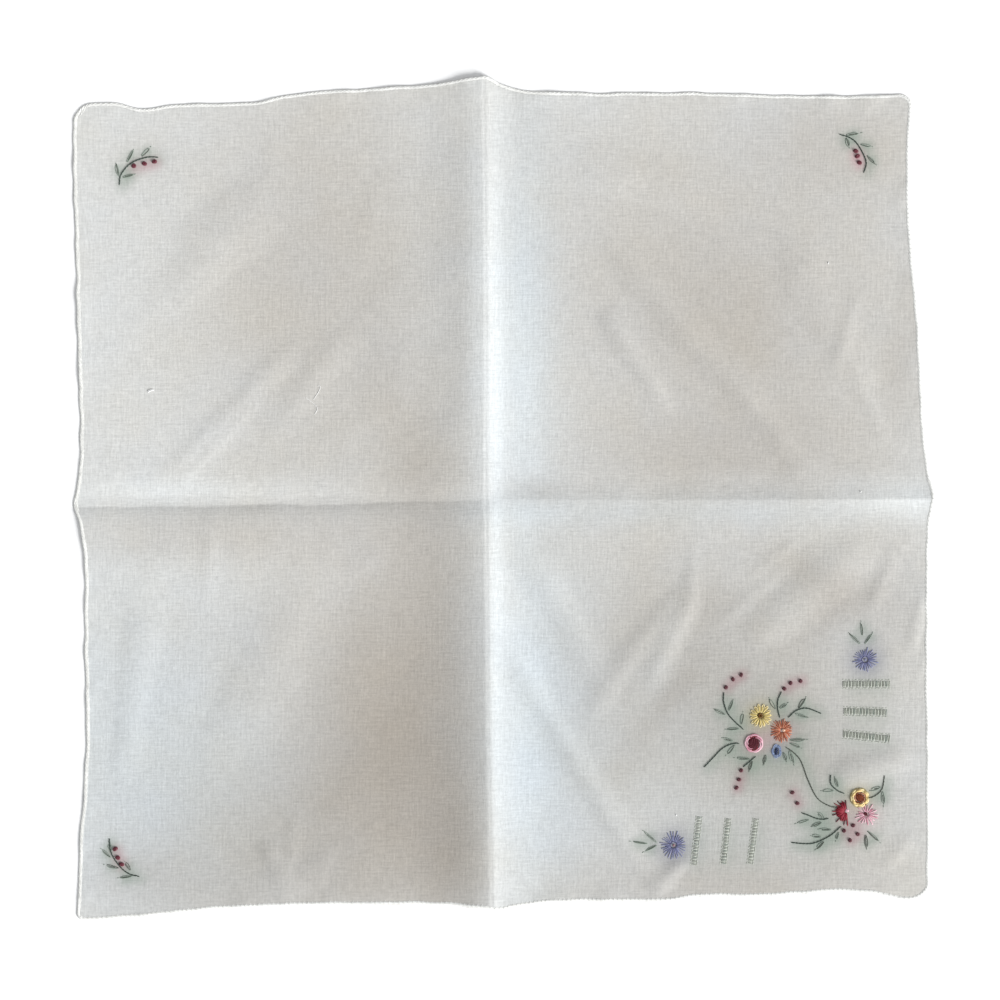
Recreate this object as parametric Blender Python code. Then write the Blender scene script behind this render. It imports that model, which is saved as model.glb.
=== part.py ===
"""Linen handkerchief, about 12 in square, opened out flat from a fold in quarters.

One solid: a square of fine linen with its rolled hem, the cross of pressed fold creases, the soft waves
that the cloth keeps, and the low relief of the embroidered flower heads and French knots.
Units are metres. +X is to the right of the cloth and +Y to its top edge as it is looked at from above,
+Z is up, and the underside rests on z = 0. Every table is in the cloth's own plan, measured from the
crossing of the two fold creases; the finished mesh is then centred on the origin.
"""

import math
from collections import namedtuple

import bmesh
import bpy
from mathutils import Vector

NODE_NAME = "handkerchief"

# Plan of the cloth: how far each edge lies from the crossing of the creases
LEFT = -0.1470
RIGHT = 0.1585
BOTTOM = -0.1460
TOP = 0.1475
EDGE_EASE = 0.020
EDGE_STIFF = 0.003

# Thickness of the plain cloth, and of the rolled hem at each distance in from its edge
CLOTH_THICKNESS = 0.0010
HemStation = namedtuple("HemStation", "inset thickness")
HEM = (
    HemStation(0.0000, 0.0008),
    HemStation(0.0006, 0.0015),
    HemStation(0.0012, 0.0017),
    HemStation(0.0018, 0.0015),
    HemStation(0.0025, 0.0010),
)

# Rounding of the four corners
CORNER_RADIUS = {"top_left": 0.0075, "top_right": 0.0050, "bottom_left": 0.0030, "bottom_right": 0.0070}

# How far the edge stands out of the plan, for each place along it
EdgePoint = namedtuple("EdgePoint", "along out")
TOP_EDGE = (
    EdgePoint(-0.147, -0.0040),
    EdgePoint(-0.134, -0.0034),
    EdgePoint(-0.125, -0.0056),
    EdgePoint(-0.110, -0.0040),
    EdgePoint(-0.084, -0.0032),
    EdgePoint(-0.070, -0.0004),
    EdgePoint(-0.055, 0.0010),
    EdgePoint(-0.034, 0.0020),
    EdgePoint(-0.016, 0.0034),
    EdgePoint(-0.003, 0.0054),
    EdgePoint(0.001, 0.0058),
    EdgePoint(0.007, 0.0029),
    EdgePoint(0.016, 0.0008),
    EdgePoint(0.032, 0.0000),
    EdgePoint(0.076, 0.0001),
    EdgePoint(0.118, -0.0010),
    EdgePoint(0.135, -0.0010),
    EdgePoint(0.1585, -0.0004),
)
RIGHT_EDGE = (
    EdgePoint(-0.1460, 0.0021),
    EdgePoint(-0.108, 0.0021),
    EdgePoint(-0.065, 0.0018),
    EdgePoint(-0.036, 0.0017),
    EdgePoint(-0.022, 0.0019),
    EdgePoint(-0.007, 0.0025),
    EdgePoint(0.001, 0.0035),
    EdgePoint(0.007, 0.0023),
    EdgePoint(0.015, 0.0012),
    EdgePoint(0.022, 0.0003),
    EdgePoint(0.036, -0.0006),
    EdgePoint(0.058, -0.0014),
    EdgePoint(0.072, -0.0026),
    EdgePoint(0.087, -0.0041),
    EdgePoint(0.112, -0.0052),
    EdgePoint(0.130, -0.0050),
    EdgePoint(0.1475, -0.0040),
)
BOTTOM_EDGE = (
    EdgePoint(-0.147, 0.0061),
    EdgePoint(-0.132, 0.0052),
    EdgePoint(-0.118, 0.0038),
    EdgePoint(-0.096, 0.0018),
    EdgePoint(-0.074, 0.0007),
    EdgePoint(-0.045, 0.0002),
    EdgePoint(-0.016, 0.0002),
    EdgePoint(-0.002, 0.0012),
    EdgePoint(0.0025, 0.0019),
    EdgePoint(0.008, 0.0009),
    EdgePoint(0.020, -0.0004),
    EdgePoint(0.034, -0.0009),
    EdgePoint(0.063, -0.0010),
    EdgePoint(0.078, -0.0026),
    EdgePoint(0.101, -0.0028),
    EdgePoint(0.114, -0.0037),
    EdgePoint(0.128, -0.0045),
    EdgePoint(0.139, -0.0038),
    EdgePoint(0.150, -0.0017),
    EdgePoint(0.1585, -0.0012),
)
LEFT_EDGE = (
    EdgePoint(-0.1460, 0.0009),
    EdgePoint(-0.132, 0.0004),
    EdgePoint(-0.118, -0.0006),
    EdgePoint(-0.103, -0.0018),
    EdgePoint(-0.085, -0.0025),
    EdgePoint(-0.042, -0.0018),
    EdgePoint(-0.020, -0.0018),
    EdgePoint(-0.006, 0.0002),
    EdgePoint(0.000, 0.0020),
    EdgePoint(0.006, 0.0008),
    EdgePoint(0.019, -0.0003),
    EdgePoint(0.045, 0.0001),
    EdgePoint(0.073, 0.0009),
    EdgePoint(0.123, 0.0022),
    EdgePoint(0.1475, 0.0024),
)

# Line and height of each fold crease, from one end to the other
CreasePoint = namedtuple("CreasePoint", "along aside height")
UPRIGHT_CREASE = (
    CreasePoint(-0.1460, 0.0023, 0.0030),
    CreasePoint(-0.090, 0.0013, 0.0033),
    CreasePoint(-0.035, 0.0007, 0.0030),
    CreasePoint(-0.006, 0.0003, 0.0022),
    CreasePoint(0.000, 0.0001, 0.0018),
    CreasePoint(0.008, 0.0001, 0.0024),
    CreasePoint(0.050, 0.0002, 0.0030),
    CreasePoint(0.100, 0.0000, 0.0029),
    CreasePoint(0.1475, -0.0006, 0.0018),
)
LEVEL_CREASE = (
    CreasePoint(-0.147, -0.0016, 0.0010),
    CreasePoint(-0.100, -0.0012, 0.0012),
    CreasePoint(-0.060, -0.0009, 0.0010),
    CreasePoint(-0.030, -0.0005, 0.0006),
    CreasePoint(-0.006, -0.0001, 0.0003),
    CreasePoint(0.006, 0.0002, 0.0005),
    CreasePoint(0.060, 0.0001, 0.0008),
    CreasePoint(0.120, 0.0002, 0.0012),
    CreasePoint(0.1585, 0.0006, 0.0017),
)
CREASE_EASE = 0.060

# Fall of the cloth beside a raised crease: a share near the fold, rounder for a higher power, and a slack share
Flank = namedtuple("Flank", "run power slack_run slack_share")
UPRIGHT_RIGHT_FLANK = Flank(0.0070, 1.15, 0.030, 0.12)
UPRIGHT_LEFT_FLANK = Flank(0.0150, 1.80, 0.045, 0.30)
LEVEL_UPPER_FLANK = Flank(0.0060, 1.20, 0.020, 0.15)
LEVEL_LOWER_FLANK = Flank(0.0070, 1.15, 0.030, 0.25)
SUNK_CREASE_RUN = 0.0085
SUNK_UPPER_SHARE = 0.30
TURN_OVER = 0.008

# Soft waves in the four quarters: centre, the way the wave runs, its length, half width and height
Wave = namedtuple("Wave", "x y heading length half_width height")
WAVES = (
    Wave(0.057, -0.052, 54, 0.058, 0.0052, 0.0011),
    Wave(0.067, -0.051, 62, 0.040, 0.0042, 0.0007),
    Wave(0.027, -0.040, -60, 0.058, 0.0060, 0.0008),
    Wave(0.032, -0.094, -58, 0.102, 0.0042, 0.0010),
    Wave(0.067, -0.136, 48, 0.018, 0.0040, 0.0008),
    Wave(0.154, -0.044, 80, 0.026, 0.0030, 0.0010),
    Wave(0.139, -0.096, 15, 0.030, 0.0060, 0.0009),
    Wave(0.147, -0.129, 55, 0.020, 0.0040, 0.0009),
    Wave(0.118, -0.032, 40, 0.060, 0.0090, 0.0009),
    Wave(0.081, 0.051, -48, 0.108, 0.0055, 0.0012),
    Wave(0.054, 0.051, -55, 0.044, 0.0045, 0.0010),
    Wave(0.122, 0.068, -62, 0.070, 0.0100, 0.0007),
    Wave(0.060, 0.115, -20, 0.060, 0.0100, 0.0006),
    Wave(-0.092, 0.033, 45, 0.061, 0.0045, 0.0004),
    Wave(-0.062, 0.045, 52, 0.045, 0.0060, 0.0004),
    Wave(-0.095, 0.095, 50, 0.070, 0.0120, 0.0006),
    Wave(-0.128, -0.070, 82, 0.070, 0.0080, 0.0006),
    Wave(-0.080, -0.060, 62, 0.070, 0.0130, 0.0006),
    Wave(-0.076, -0.132, -62, 0.020, 0.0040, 0.0008),
    Wave(-0.064, -0.134, 52, 0.020, 0.0040, 0.0008),
)
CONTACT_SLACK = 0.00030
LEAST_LIFT = 0.00004

# Relief of the embroidery: flower heads and French knots by their places on the flat sheet, with radius and rise
Raised = namedtuple("Raised", "x y radius rise")
FLOWER_HEADS = (
    Raised(0.0995, -0.0778, 0.0038, 0.0007),
    Raised(0.1073, -0.0831, 0.0041, 0.0008),
    Raised(0.0971, -0.0878, 0.0036, 0.0008),
    Raised(0.1053, -0.0907, 0.0028, 0.0006),
    Raised(0.1293, -0.1127, 0.0042, 0.0007),
    Raised(0.1353, -0.1074, 0.0036, 0.0008),
    Raised(0.1378, -0.1136, 0.0038, 0.0006),
    Raised(0.1374, -0.0576, 0.0044, 0.0006),
    Raised(0.0677, -0.1247, 0.0045, 0.0006),
)
KNOT_RADIUS = 0.0010
KNOT_RISE = 0.0008
KnotSpot = namedtuple("KnotSpot", "x y")
KNOTS = (
    KnotSpot(0.0870, -0.0676),
    KnotSpot(0.0896, -0.0647),
    KnotSpot(0.0925, -0.0631),
    KnotSpot(0.1081, -0.0681),
    KnotSpot(0.1104, -0.0661),
    KnotSpot(0.1140, -0.0653),
    KnotSpot(0.0925, -0.0977),
    KnotSpot(0.0917, -0.1010),
    KnotSpot(0.0908, -0.1040),
    KnotSpot(0.1110, -0.1057),
    KnotSpot(0.1128, -0.1095),
    KnotSpot(0.1330, -0.1176),
    KnotSpot(0.1297, -0.1195),
    KnotSpot(0.1347, -0.1207),
    KnotSpot(0.1319, -0.1229),
    KnotSpot(-0.1272, 0.1211),
    KnotSpot(-0.1234, 0.1219),
    KnotSpot(-0.1198, 0.1226),
    KnotSpot(0.1340, 0.1264),
    KnotSpot(0.1346, 0.1246),
    KnotSpot(0.1353, 0.1222),
    KnotSpot(-0.1340, -0.1261),
    KnotSpot(-0.1330, -0.1288),
    KnotSpot(-0.1316, -0.1306),
)

# Spacing of the mesh: rows beside each crease, then even steps across each quarter
CREASE_ROWS = (0.0016, 0.0042, 0.0085, 0.0150)
CORNER_ROWS = (0.0045, 0.0075)
QUARTER_STEPS = 13
HEAD_PASSES = 2
KNOT_PASSES = 1

LINEN = {"colour": (0.80, 0.80, 0.78, 1.0), "roughness": 0.85, "metallic": 0.0}


def clear_scene():
    for old in list(bpy.data.objects):
        bpy.data.objects.remove(old, do_unlink=True)


def ease(value):
    """Smooth step from 0 at 0 to 1 at 1."""
    value = min(max(value, 0.0), 1.0)
    return value * value * (3.0 - 2.0 * value)


def smooth_value(rows, at, column):
    """Value of one column of a table at a place between its rows, on a smooth curve through them."""
    along = [row.along for row in rows]
    values = [getattr(row, column) for row in rows]
    last = len(rows) - 1
    at = min(max(at, along[0]), along[-1])
    right = next(i for i in range(1, len(rows)) if at <= along[i])
    left = right - 1

    def slope(i):
        before, after = max(i - 1, 0), min(i + 1, last)
        return (values[after] - values[before]) / (along[after] - along[before])

    run = along[right] - along[left]
    t = (at - along[left]) / run
    rise_left = slope(left) * run
    rise_right = slope(right) * run
    return (
        (2 * t**3 - 3 * t**2 + 1) * values[left]
        + (t**3 - 2 * t**2 + t) * rise_left
        + (3 * t**2 - 2 * t**3) * values[right]
        + (t**3 - t**2) * rise_right
    )


def stations(low, high):
    """Places of the mesh lines across the cloth: the hem, even steps, then the rows beside the crease."""
    hem = [station.inset for station in HEM] + list(CORNER_ROWS)
    near_crease = CREASE_ROWS[-1]
    places = [low + inset for inset in hem] + [high - inset for inset in hem]
    places += [0.0] + [side * row for row in CREASE_ROWS for side in (-1, 1)]
    for start, end in ((low + hem[-1], -near_crease), (near_crease, high - hem[-1])):
        step = (end - start) / QUARTER_STEPS
        places += [start + step * i for i in range(1, QUARTER_STEPS)]
    return sorted(places)


def round_corner(a, b):
    """Bends the square corner of the plan into an arc, keeping the width of the hem."""
    side_x, edge_x = ("left", LEFT) if a < 0 else ("right", RIGHT)
    side_y, edge_y = ("bottom", BOTTOM) if b < 0 else ("top", TOP)
    radius = CORNER_RADIUS[f"{side_y}_{side_x}"]
    out_x = -1 if a < 0 else 1
    out_y = -1 if b < 0 else 1
    s = 1.0 - abs(edge_x - a) / radius
    t = 1.0 - abs(edge_y - b) / radius
    if s <= 0 or t <= 0:
        return a, b
    reach = max(s, t)
    angle = math.pi / 4 * (t / s if s >= t else 2.0 - s / t)
    centre_x = edge_x - out_x * radius
    centre_y = edge_y - out_y * radius
    return (
        centre_x + out_x * radius * reach * math.cos(angle),
        centre_y + out_y * radius * reach * math.sin(angle),
    )


def fade(distance, run, hold=0.0):
    """1 at a line and close to it, easing to 0 at the end of the run."""
    return 1.0 - ease((distance - hold) / (run - hold))


def lay_out(a, b):
    """Place on the surface of a point of the plan, with the uneven edges and the bowed creases."""
    a, b = round_corner(a, b)
    x = a + smooth_value(UPRIGHT_CREASE, b, "aside") * fade(abs(a), CREASE_EASE)
    y = b + smooth_value(LEVEL_CREASE, a, "aside") * fade(abs(b), CREASE_EASE)
    x -= smooth_value(LEFT_EDGE, b, "out") * fade(a - LEFT, EDGE_EASE, EDGE_STIFF)
    x += smooth_value(RIGHT_EDGE, b, "out") * fade(RIGHT - a, EDGE_EASE, EDGE_STIFF)
    y -= smooth_value(BOTTOM_EDGE, a, "out") * fade(b - BOTTOM, EDGE_EASE, EDGE_STIFF)
    y += smooth_value(TOP_EDGE, a, "out") * fade(TOP - b, EDGE_EASE, EDGE_STIFF)
    return x, y


def flank_fall(flank, distance):
    """Share of a raised crease's height that is left at a distance from the fold."""
    near = math.exp(-((distance / flank.run) ** flank.power))
    slack = math.exp(-distance / flank.slack_run)
    return (1.0 - flank.slack_share) * near + flank.slack_share * slack


def crease_lift(a, b):
    """Height that the creases give: the upright one is raised, the level one is sunk on the left, then raised."""
    upright = UPRIGHT_RIGHT_FLANK if a > 0 else UPRIGHT_LEFT_FLANK
    level = LEVEL_UPPER_FLANK if b > 0 else LEVEL_LOWER_FLANK
    upright_lift = smooth_value(UPRIGHT_CREASE, b, "height") * flank_fall(upright, abs(a))
    level_height = smooth_value(LEVEL_CREASE, a, "height")
    raised = level_height * flank_fall(level, abs(b))
    run = abs(b) / SUNK_CREASE_RUN
    sunk = level_height * run * math.exp(1.0 - run) * (SUNK_UPPER_SHARE if b > 0 else 1.0)
    turned = ease((a + TURN_OVER) / (2 * TURN_OVER))
    return upright_lift + raised * turned + sunk * (1.0 - turned)


def wave_lift(x, y):
    """Height that the soft waves give."""
    total = 0.0
    for wave in WAVES:
        heading = math.radians(wave.heading)
        dx, dy = x - wave.x, y - wave.y
        along = dx * math.cos(heading) + dy * math.sin(heading)
        across = dy * math.cos(heading) - dx * math.sin(heading)
        length = (2.0 * along / wave.length) ** 4
        width = (across / wave.half_width) ** 2
        total += wave.height * math.exp(-length - width)
    return total


def lift(a, b):
    """Height of the underside over the surface. It is exactly 0 where the cloth lies flat."""
    height = crease_lift(a, b) + wave_lift(a, b) - CONTACT_SLACK
    return height if height > LEAST_LIFT else 0.0


def hem_thickness(a, b):
    """Thickness of the cloth, rolled at its edge."""
    inset = min(a - LEFT, RIGHT - a, b - BOTTOM, TOP - b)
    for outer, inner in zip(HEM, HEM[1:]):
        if inset <= inner.inset:
            share = (inset - outer.inset) / (inner.inset - outer.inset)
            return outer.thickness + share * (inner.thickness - outer.thickness)
    return CLOTH_THICKNESS


def relief(a, b):
    """Rise of the embroidery over the cloth: the tallest of the domes that reach this place."""
    rises = [0.0]
    knots = [Raised(knot.x, knot.y, KNOT_RADIUS, KNOT_RISE) for knot in KNOTS]
    for spot in list(FLOWER_HEADS) + knots:
        away = math.hypot(a - spot.x, b - spot.y) / spot.radius
        if away < 1.0:
            rises.append(spot.rise * math.sqrt(1.0 - away * away))
    return max(rises)


def flat_plan():
    """Flat grid of the cloth's plan, with its lines set closer at the hem and beside the creases."""
    columns, rows = stations(LEFT, RIGHT), stations(BOTTOM, TOP)
    plan = bmesh.new()
    bmesh.ops.create_grid(plan, x_segments=len(columns) - 1, y_segments=len(rows) - 1, size=0.5)
    for vert in plan.verts:
        column = round((vert.co.x + 0.5) * (len(columns) - 1))
        row = round((vert.co.y + 0.5) * (len(rows) - 1))
        vert.co = Vector((columns[column], rows[row], 0.0))
    return plan


def refine(plan, spots, passes):
    """Halves the faces round each raised spot, a pass at a time, and sets the nearest point on its middle."""
    for _ in range(passes):
        near = []
        for face in plan.faces:
            middle = face.calc_center_median()
            size = max(edge.calc_length() for edge in face.edges)
            if any(math.hypot(middle.x - s.x, middle.y - s.y) < s.radius + size / 2 for s in spots):
                near.append(face)
        edges = {edge for face in near for edge in face.edges}
        bmesh.ops.subdivide_edges(plan, edges=list(edges), cuts=1, use_grid_fill=True)
    for spot in spots:
        middle = Vector((spot.x, spot.y, 0.0))
        nearest = min(plan.verts, key=lambda vert: (vert.co - middle).length)
        nearest.co = middle


def handkerchief_mesh():
    plan = flat_plan()
    refine(plan, FLOWER_HEADS, HEAD_PASSES)
    refine(plan, [Raised(knot.x, knot.y, KNOT_RADIUS, KNOT_RISE) for knot in KNOTS], KNOT_PASSES)
    bmesh.ops.triangulate(plan, faces=plan.faces)
    underside = list(plan.verts)
    made = bmesh.ops.extrude_face_region(plan, geom=list(plan.faces))
    upper = [item for item in made["geom"] if isinstance(item, bmesh.types.BMVert)]
    for verts, is_upper in ((underside, False), (upper, True)):
        for vert in verts:
            a, b = vert.co.x, vert.co.y
            height = lift(a, b)
            if is_upper:
                height += hem_thickness(a, b) + relief(a, b)
            vert.co = Vector((*lay_out(a, b), height))
    bmesh.ops.recalc_face_normals(plan, faces=plan.faces)
    lowest = Vector([min(vert.co[axis] for vert in plan.verts) for axis in range(3)])
    highest = Vector([max(vert.co[axis] for vert in plan.verts) for axis in range(3)])
    centre = (lowest + highest) / 2
    bmesh.ops.translate(plan, verts=plan.verts, vec=(-centre.x, -centre.y, -lowest.z))
    mesh = bpy.data.meshes.new(NODE_NAME)
    plan.to_mesh(mesh)
    plan.free()
    return mesh


def linen_material():
    material = bpy.data.materials.new("white_linen")
    material.use_nodes = True
    shader = material.node_tree.nodes["Principled BSDF"]
    shader.inputs["Base Color"].default_value = LINEN["colour"]
    shader.inputs["Roughness"].default_value = LINEN["roughness"]
    shader.inputs["Metallic"].default_value = LINEN["metallic"]
    material.diffuse_color = LINEN["colour"]
    return material


def main():
    clear_scene()
    collection = bpy.data.collections.new("linen_handkerchief")
    bpy.context.scene.collection.children.link(collection)
    mesh = handkerchief_mesh()
    mesh.materials.append(linen_material())
    mesh.shade_smooth()
    mesh.set_sharp_from_angle(angle=math.radians(50))
    collection.objects.link(bpy.data.objects.new(NODE_NAME, mesh))


main()
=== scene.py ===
"""Linen handkerchief: the looks of its cloth, hem and embroidery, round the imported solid.

The cloth is one thin sheet with the solid's own outline, fold creases and waves. The rolled hem, its
whip stitches and every stitch of the embroidery are thread laid on that sheet. Plan coordinates run from
the crossing of the two creases, +X to the right and +Y to the top edge; embroidery tables are in
millimetres of that plan.
"""

import functools
import math
import random
from collections import namedtuple

import bmesh
import bpy
import numpy as np
from bpy.props import FloatProperty, FloatVectorProperty, PointerProperty
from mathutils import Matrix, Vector, noise
from mathutils.bvhtree import BVHTree


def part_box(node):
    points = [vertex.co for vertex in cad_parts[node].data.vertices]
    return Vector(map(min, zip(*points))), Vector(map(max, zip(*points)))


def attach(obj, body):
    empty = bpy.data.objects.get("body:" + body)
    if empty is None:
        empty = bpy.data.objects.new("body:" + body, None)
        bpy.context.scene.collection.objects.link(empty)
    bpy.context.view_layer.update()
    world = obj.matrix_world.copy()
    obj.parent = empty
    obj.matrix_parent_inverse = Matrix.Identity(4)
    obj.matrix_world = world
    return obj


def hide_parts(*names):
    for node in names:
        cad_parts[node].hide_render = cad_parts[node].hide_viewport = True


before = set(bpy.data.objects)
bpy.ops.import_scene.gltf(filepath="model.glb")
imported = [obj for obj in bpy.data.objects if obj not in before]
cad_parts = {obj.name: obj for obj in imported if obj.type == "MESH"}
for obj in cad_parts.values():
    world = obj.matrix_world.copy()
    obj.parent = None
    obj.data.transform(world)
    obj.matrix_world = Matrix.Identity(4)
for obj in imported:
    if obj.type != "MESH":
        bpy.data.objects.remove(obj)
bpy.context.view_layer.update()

bl_info = {
    "name": "Linen handkerchief",
    "version": (1, 0, 0),
    "blender": (4, 5, 0),
    "location": "View3D > Sidebar > Handkerchief",
    "description": "Dresses a packed handkerchief with its linen, rolled hem and embroidery",
    "category": "Add Mesh",
}

NODE = "handkerchief"
BODY = "root"
MM = 0.001


def table(kind, *rows):
    """The rows of a table, each with the named columns of its kind."""
    return tuple(kind(*row) for row in rows)


# Plan of the cloth: how far each edge lies from the crossing of the creases
LEFT = -0.1470
RIGHT = 0.1585
BOTTOM = -0.1460
TOP = 0.1475
EDGE_EASE = 0.020
EDGE_STIFF = 0.003
CORNER_RADIUS = {"top_left": 0.0075, "top_right": 0.0050, "bottom_left": 0.0030, "bottom_right": 0.0070}

EdgePoint = namedtuple("EdgePoint", "along out")
TOP_EDGE = table(
    EdgePoint,
    (-0.147, -0.0040), (-0.134, -0.0034), (-0.125, -0.0056), (-0.110, -0.0040), (-0.084, -0.0032),
    (-0.070, -0.0004), (-0.055, 0.0010), (-0.034, 0.0020), (-0.016, 0.0034), (-0.003, 0.0054),
    (0.001, 0.0058), (0.007, 0.0029), (0.016, 0.0008), (0.032, 0.0000), (0.076, 0.0001), (0.118, -0.0010),
    (0.135, -0.0010), (0.1585, -0.0004),
)
RIGHT_EDGE = table(
    EdgePoint,
    (-0.1460, 0.0021), (-0.108, 0.0021), (-0.065, 0.0018), (-0.036, 0.0017), (-0.022, 0.0019),
    (-0.007, 0.0025), (0.001, 0.0035), (0.007, 0.0023), (0.015, 0.0012), (0.022, 0.0003), (0.036, -0.0006),
    (0.058, -0.0014), (0.072, -0.0026), (0.087, -0.0041), (0.112, -0.0052), (0.130, -0.0050),
    (0.1475, -0.0040),
)
BOTTOM_EDGE = table(
    EdgePoint,
    (-0.147, 0.0061), (-0.132, 0.0052), (-0.118, 0.0038), (-0.096, 0.0018), (-0.074, 0.0007),
    (-0.045, 0.0002), (-0.016, 0.0002), (-0.002, 0.0012), (0.0025, 0.0019), (0.008, 0.0009),
    (0.020, -0.0004), (0.034, -0.0009), (0.063, -0.0010), (0.078, -0.0026), (0.101, -0.0028),
    (0.114, -0.0037), (0.128, -0.0045), (0.139, -0.0038), (0.150, -0.0017), (0.1585, -0.0012),
)
LEFT_EDGE = table(
    EdgePoint,
    (-0.1460, 0.0009), (-0.132, 0.0004), (-0.118, -0.0006), (-0.103, -0.0018), (-0.085, -0.0025),
    (-0.042, -0.0018), (-0.020, -0.0018), (-0.006, 0.0002), (0.000, 0.0020), (0.006, 0.0008),
    (0.019, -0.0003), (0.045, 0.0001), (0.073, 0.0009), (0.123, 0.0022), (0.1475, 0.0024),
)

# The two fold creases and the way the cloth falls beside them
CreasePoint = namedtuple("CreasePoint", "along aside height")
UPRIGHT_CREASE = table(
    CreasePoint,
    (-0.1460, 0.0023, 0.0030), (-0.090, 0.0013, 0.0033), (-0.035, 0.0007, 0.0030), (-0.006, 0.0003, 0.0022),
    (0.000, 0.0001, 0.0018), (0.008, 0.0001, 0.0024), (0.050, 0.0002, 0.0030), (0.100, 0.0000, 0.0029),
    (0.1475, -0.0006, 0.0018),
)
LEVEL_CREASE = table(
    CreasePoint,
    (-0.147, -0.0016, 0.0010), (-0.100, -0.0012, 0.0012), (-0.060, -0.0009, 0.0010),
    (-0.030, -0.0005, 0.0006), (-0.006, -0.0001, 0.0003), (0.006, 0.0002, 0.0005), (0.060, 0.0001, 0.0008),
    (0.120, 0.0002, 0.0012), (0.1585, 0.0006, 0.0017),
)
CREASE_EASE = 0.060
Flank = namedtuple("Flank", "run power slack_run slack_share")
UPRIGHT_RIGHT_FLANK = Flank(0.0070, 1.15, 0.030, 0.12)
UPRIGHT_LEFT_FLANK = Flank(0.0150, 1.80, 0.045, 0.30)
LEVEL_UPPER_FLANK = Flank(0.0060, 1.20, 0.020, 0.15)
LEVEL_LOWER_FLANK = Flank(0.0070, 1.15, 0.030, 0.25)
SUNK_CREASE_RUN = 0.0085
SUNK_UPPER_SHARE = 0.30
TURN_OVER = 0.008
PINCH_WIDTH = 0.00055
PINCH_DEPTH = 0.00016

# Soft waves: centre, the way the wave runs, its length, half width and height
Wave = namedtuple("Wave", "x y heading length half_width height")
WAVES = table(
    Wave,
    (0.057, -0.052, 54, 0.058, 0.0052, 0.0011), (0.067, -0.051, 62, 0.040, 0.0042, 0.0007),
    (0.027, -0.040, -60, 0.058, 0.0060, 0.0008), (0.032, -0.094, -58, 0.102, 0.0042, 0.0010),
    (0.067, -0.136, 48, 0.018, 0.0040, 0.0008), (0.154, -0.044, 80, 0.026, 0.0030, 0.0010),
    (0.139, -0.096, 15, 0.030, 0.0060, 0.0009), (0.147, -0.129, 55, 0.020, 0.0040, 0.0009),
    (0.118, -0.032, 40, 0.060, 0.0090, 0.0009), (0.081, 0.051, -48, 0.108, 0.0055, 0.0012),
    (0.054, 0.051, -55, 0.044, 0.0045, 0.0010), (0.122, 0.068, -62, 0.070, 0.0100, 0.0007),
    (0.060, 0.115, -20, 0.060, 0.0100, 0.0006), (-0.092, 0.033, 45, 0.061, 0.0045, 0.0004),
    (-0.062, 0.045, 52, 0.045, 0.0060, 0.0004), (-0.095, 0.095, 50, 0.070, 0.0120, 0.0006),
    (-0.128, -0.070, 82, 0.070, 0.0080, 0.0006), (-0.080, -0.060, 62, 0.070, 0.0130, 0.0006),
    (-0.076, -0.132, -62, 0.020, 0.0040, 0.0008), (-0.064, -0.134, 52, 0.020, 0.0040, 0.0008),
)
CONTACT_SLACK = 0.00030

# Fine wrinkles that the solid leaves out; the last four rows draw four of its waves a little lower
WRINKLES = table(
    Wave,
    (0.104, -0.021, 38, 0.022, 0.0015, 0.00022), (0.098, -0.033, 40, 0.034, 0.0022, 0.00020),
    (0.074, -0.030, 84, 0.026, 0.0020, 0.00022), (0.100, 0.030, -46, 0.050, 0.0020, 0.00030),
    (0.130, 0.060, 74, 0.030, 0.0024, 0.00030), (0.138, 0.036, -66, 0.030, 0.0024, 0.00030),
    (-0.096, 0.022, 46, 0.036, 0.0013, 0.00018), (-0.100, -0.020, 86, 0.030, 0.0024, 0.00020),
    (-0.070, -0.124, 84, 0.022, 0.0020, 0.00020), (-0.058, -0.132, 66, 0.016, 0.0018, 0.00016),
    (-0.082, -0.134, -52, 0.016, 0.0018, 0.00018), (0.052, -0.118, -58, 0.040, 0.0014, 0.00025),
    (0.143, -0.030, 70, 0.024, 0.0022, 0.00035), (0.058, -0.052, 56, 0.050, 0.0048, -0.00055),
    (0.147, -0.129, 55, 0.018, 0.0038, -0.00040), (0.154, -0.044, 80, 0.026, 0.0030, -0.00045),
    (-0.064, -0.134, 52, 0.020, 0.0040, -0.00055),
)

# Small unevenness that the solid leaves out: length of the ripples and how high they stand
Ripple = namedtuple("Ripple", "length height")
RIPPLES = (Ripple(0.022, 0.00022), Ripple(0.009, 0.00007))
HEM_FLUTTER = Ripple(0.010, 0.00050)
HEM_WANDER = Ripple(0.008, 0.00045)
HEM_REACH = 0.004
FLUTTER_LAYER, WANDER_X_LAYER, WANDER_Y_LAYER = 5.0, 9.0, 13.0

# Spacing of the sheet's mesh: (distance from a line, step up to there)
CREASE_STEPS = ((0.0016, 0.0004), (0.004, 0.0006), (0.018, 0.0010))
HEM_STEPS = ((0.004, 0.0008),)
PLAIN_STEP = 0.00178
RIM_STEPS = 300

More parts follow.
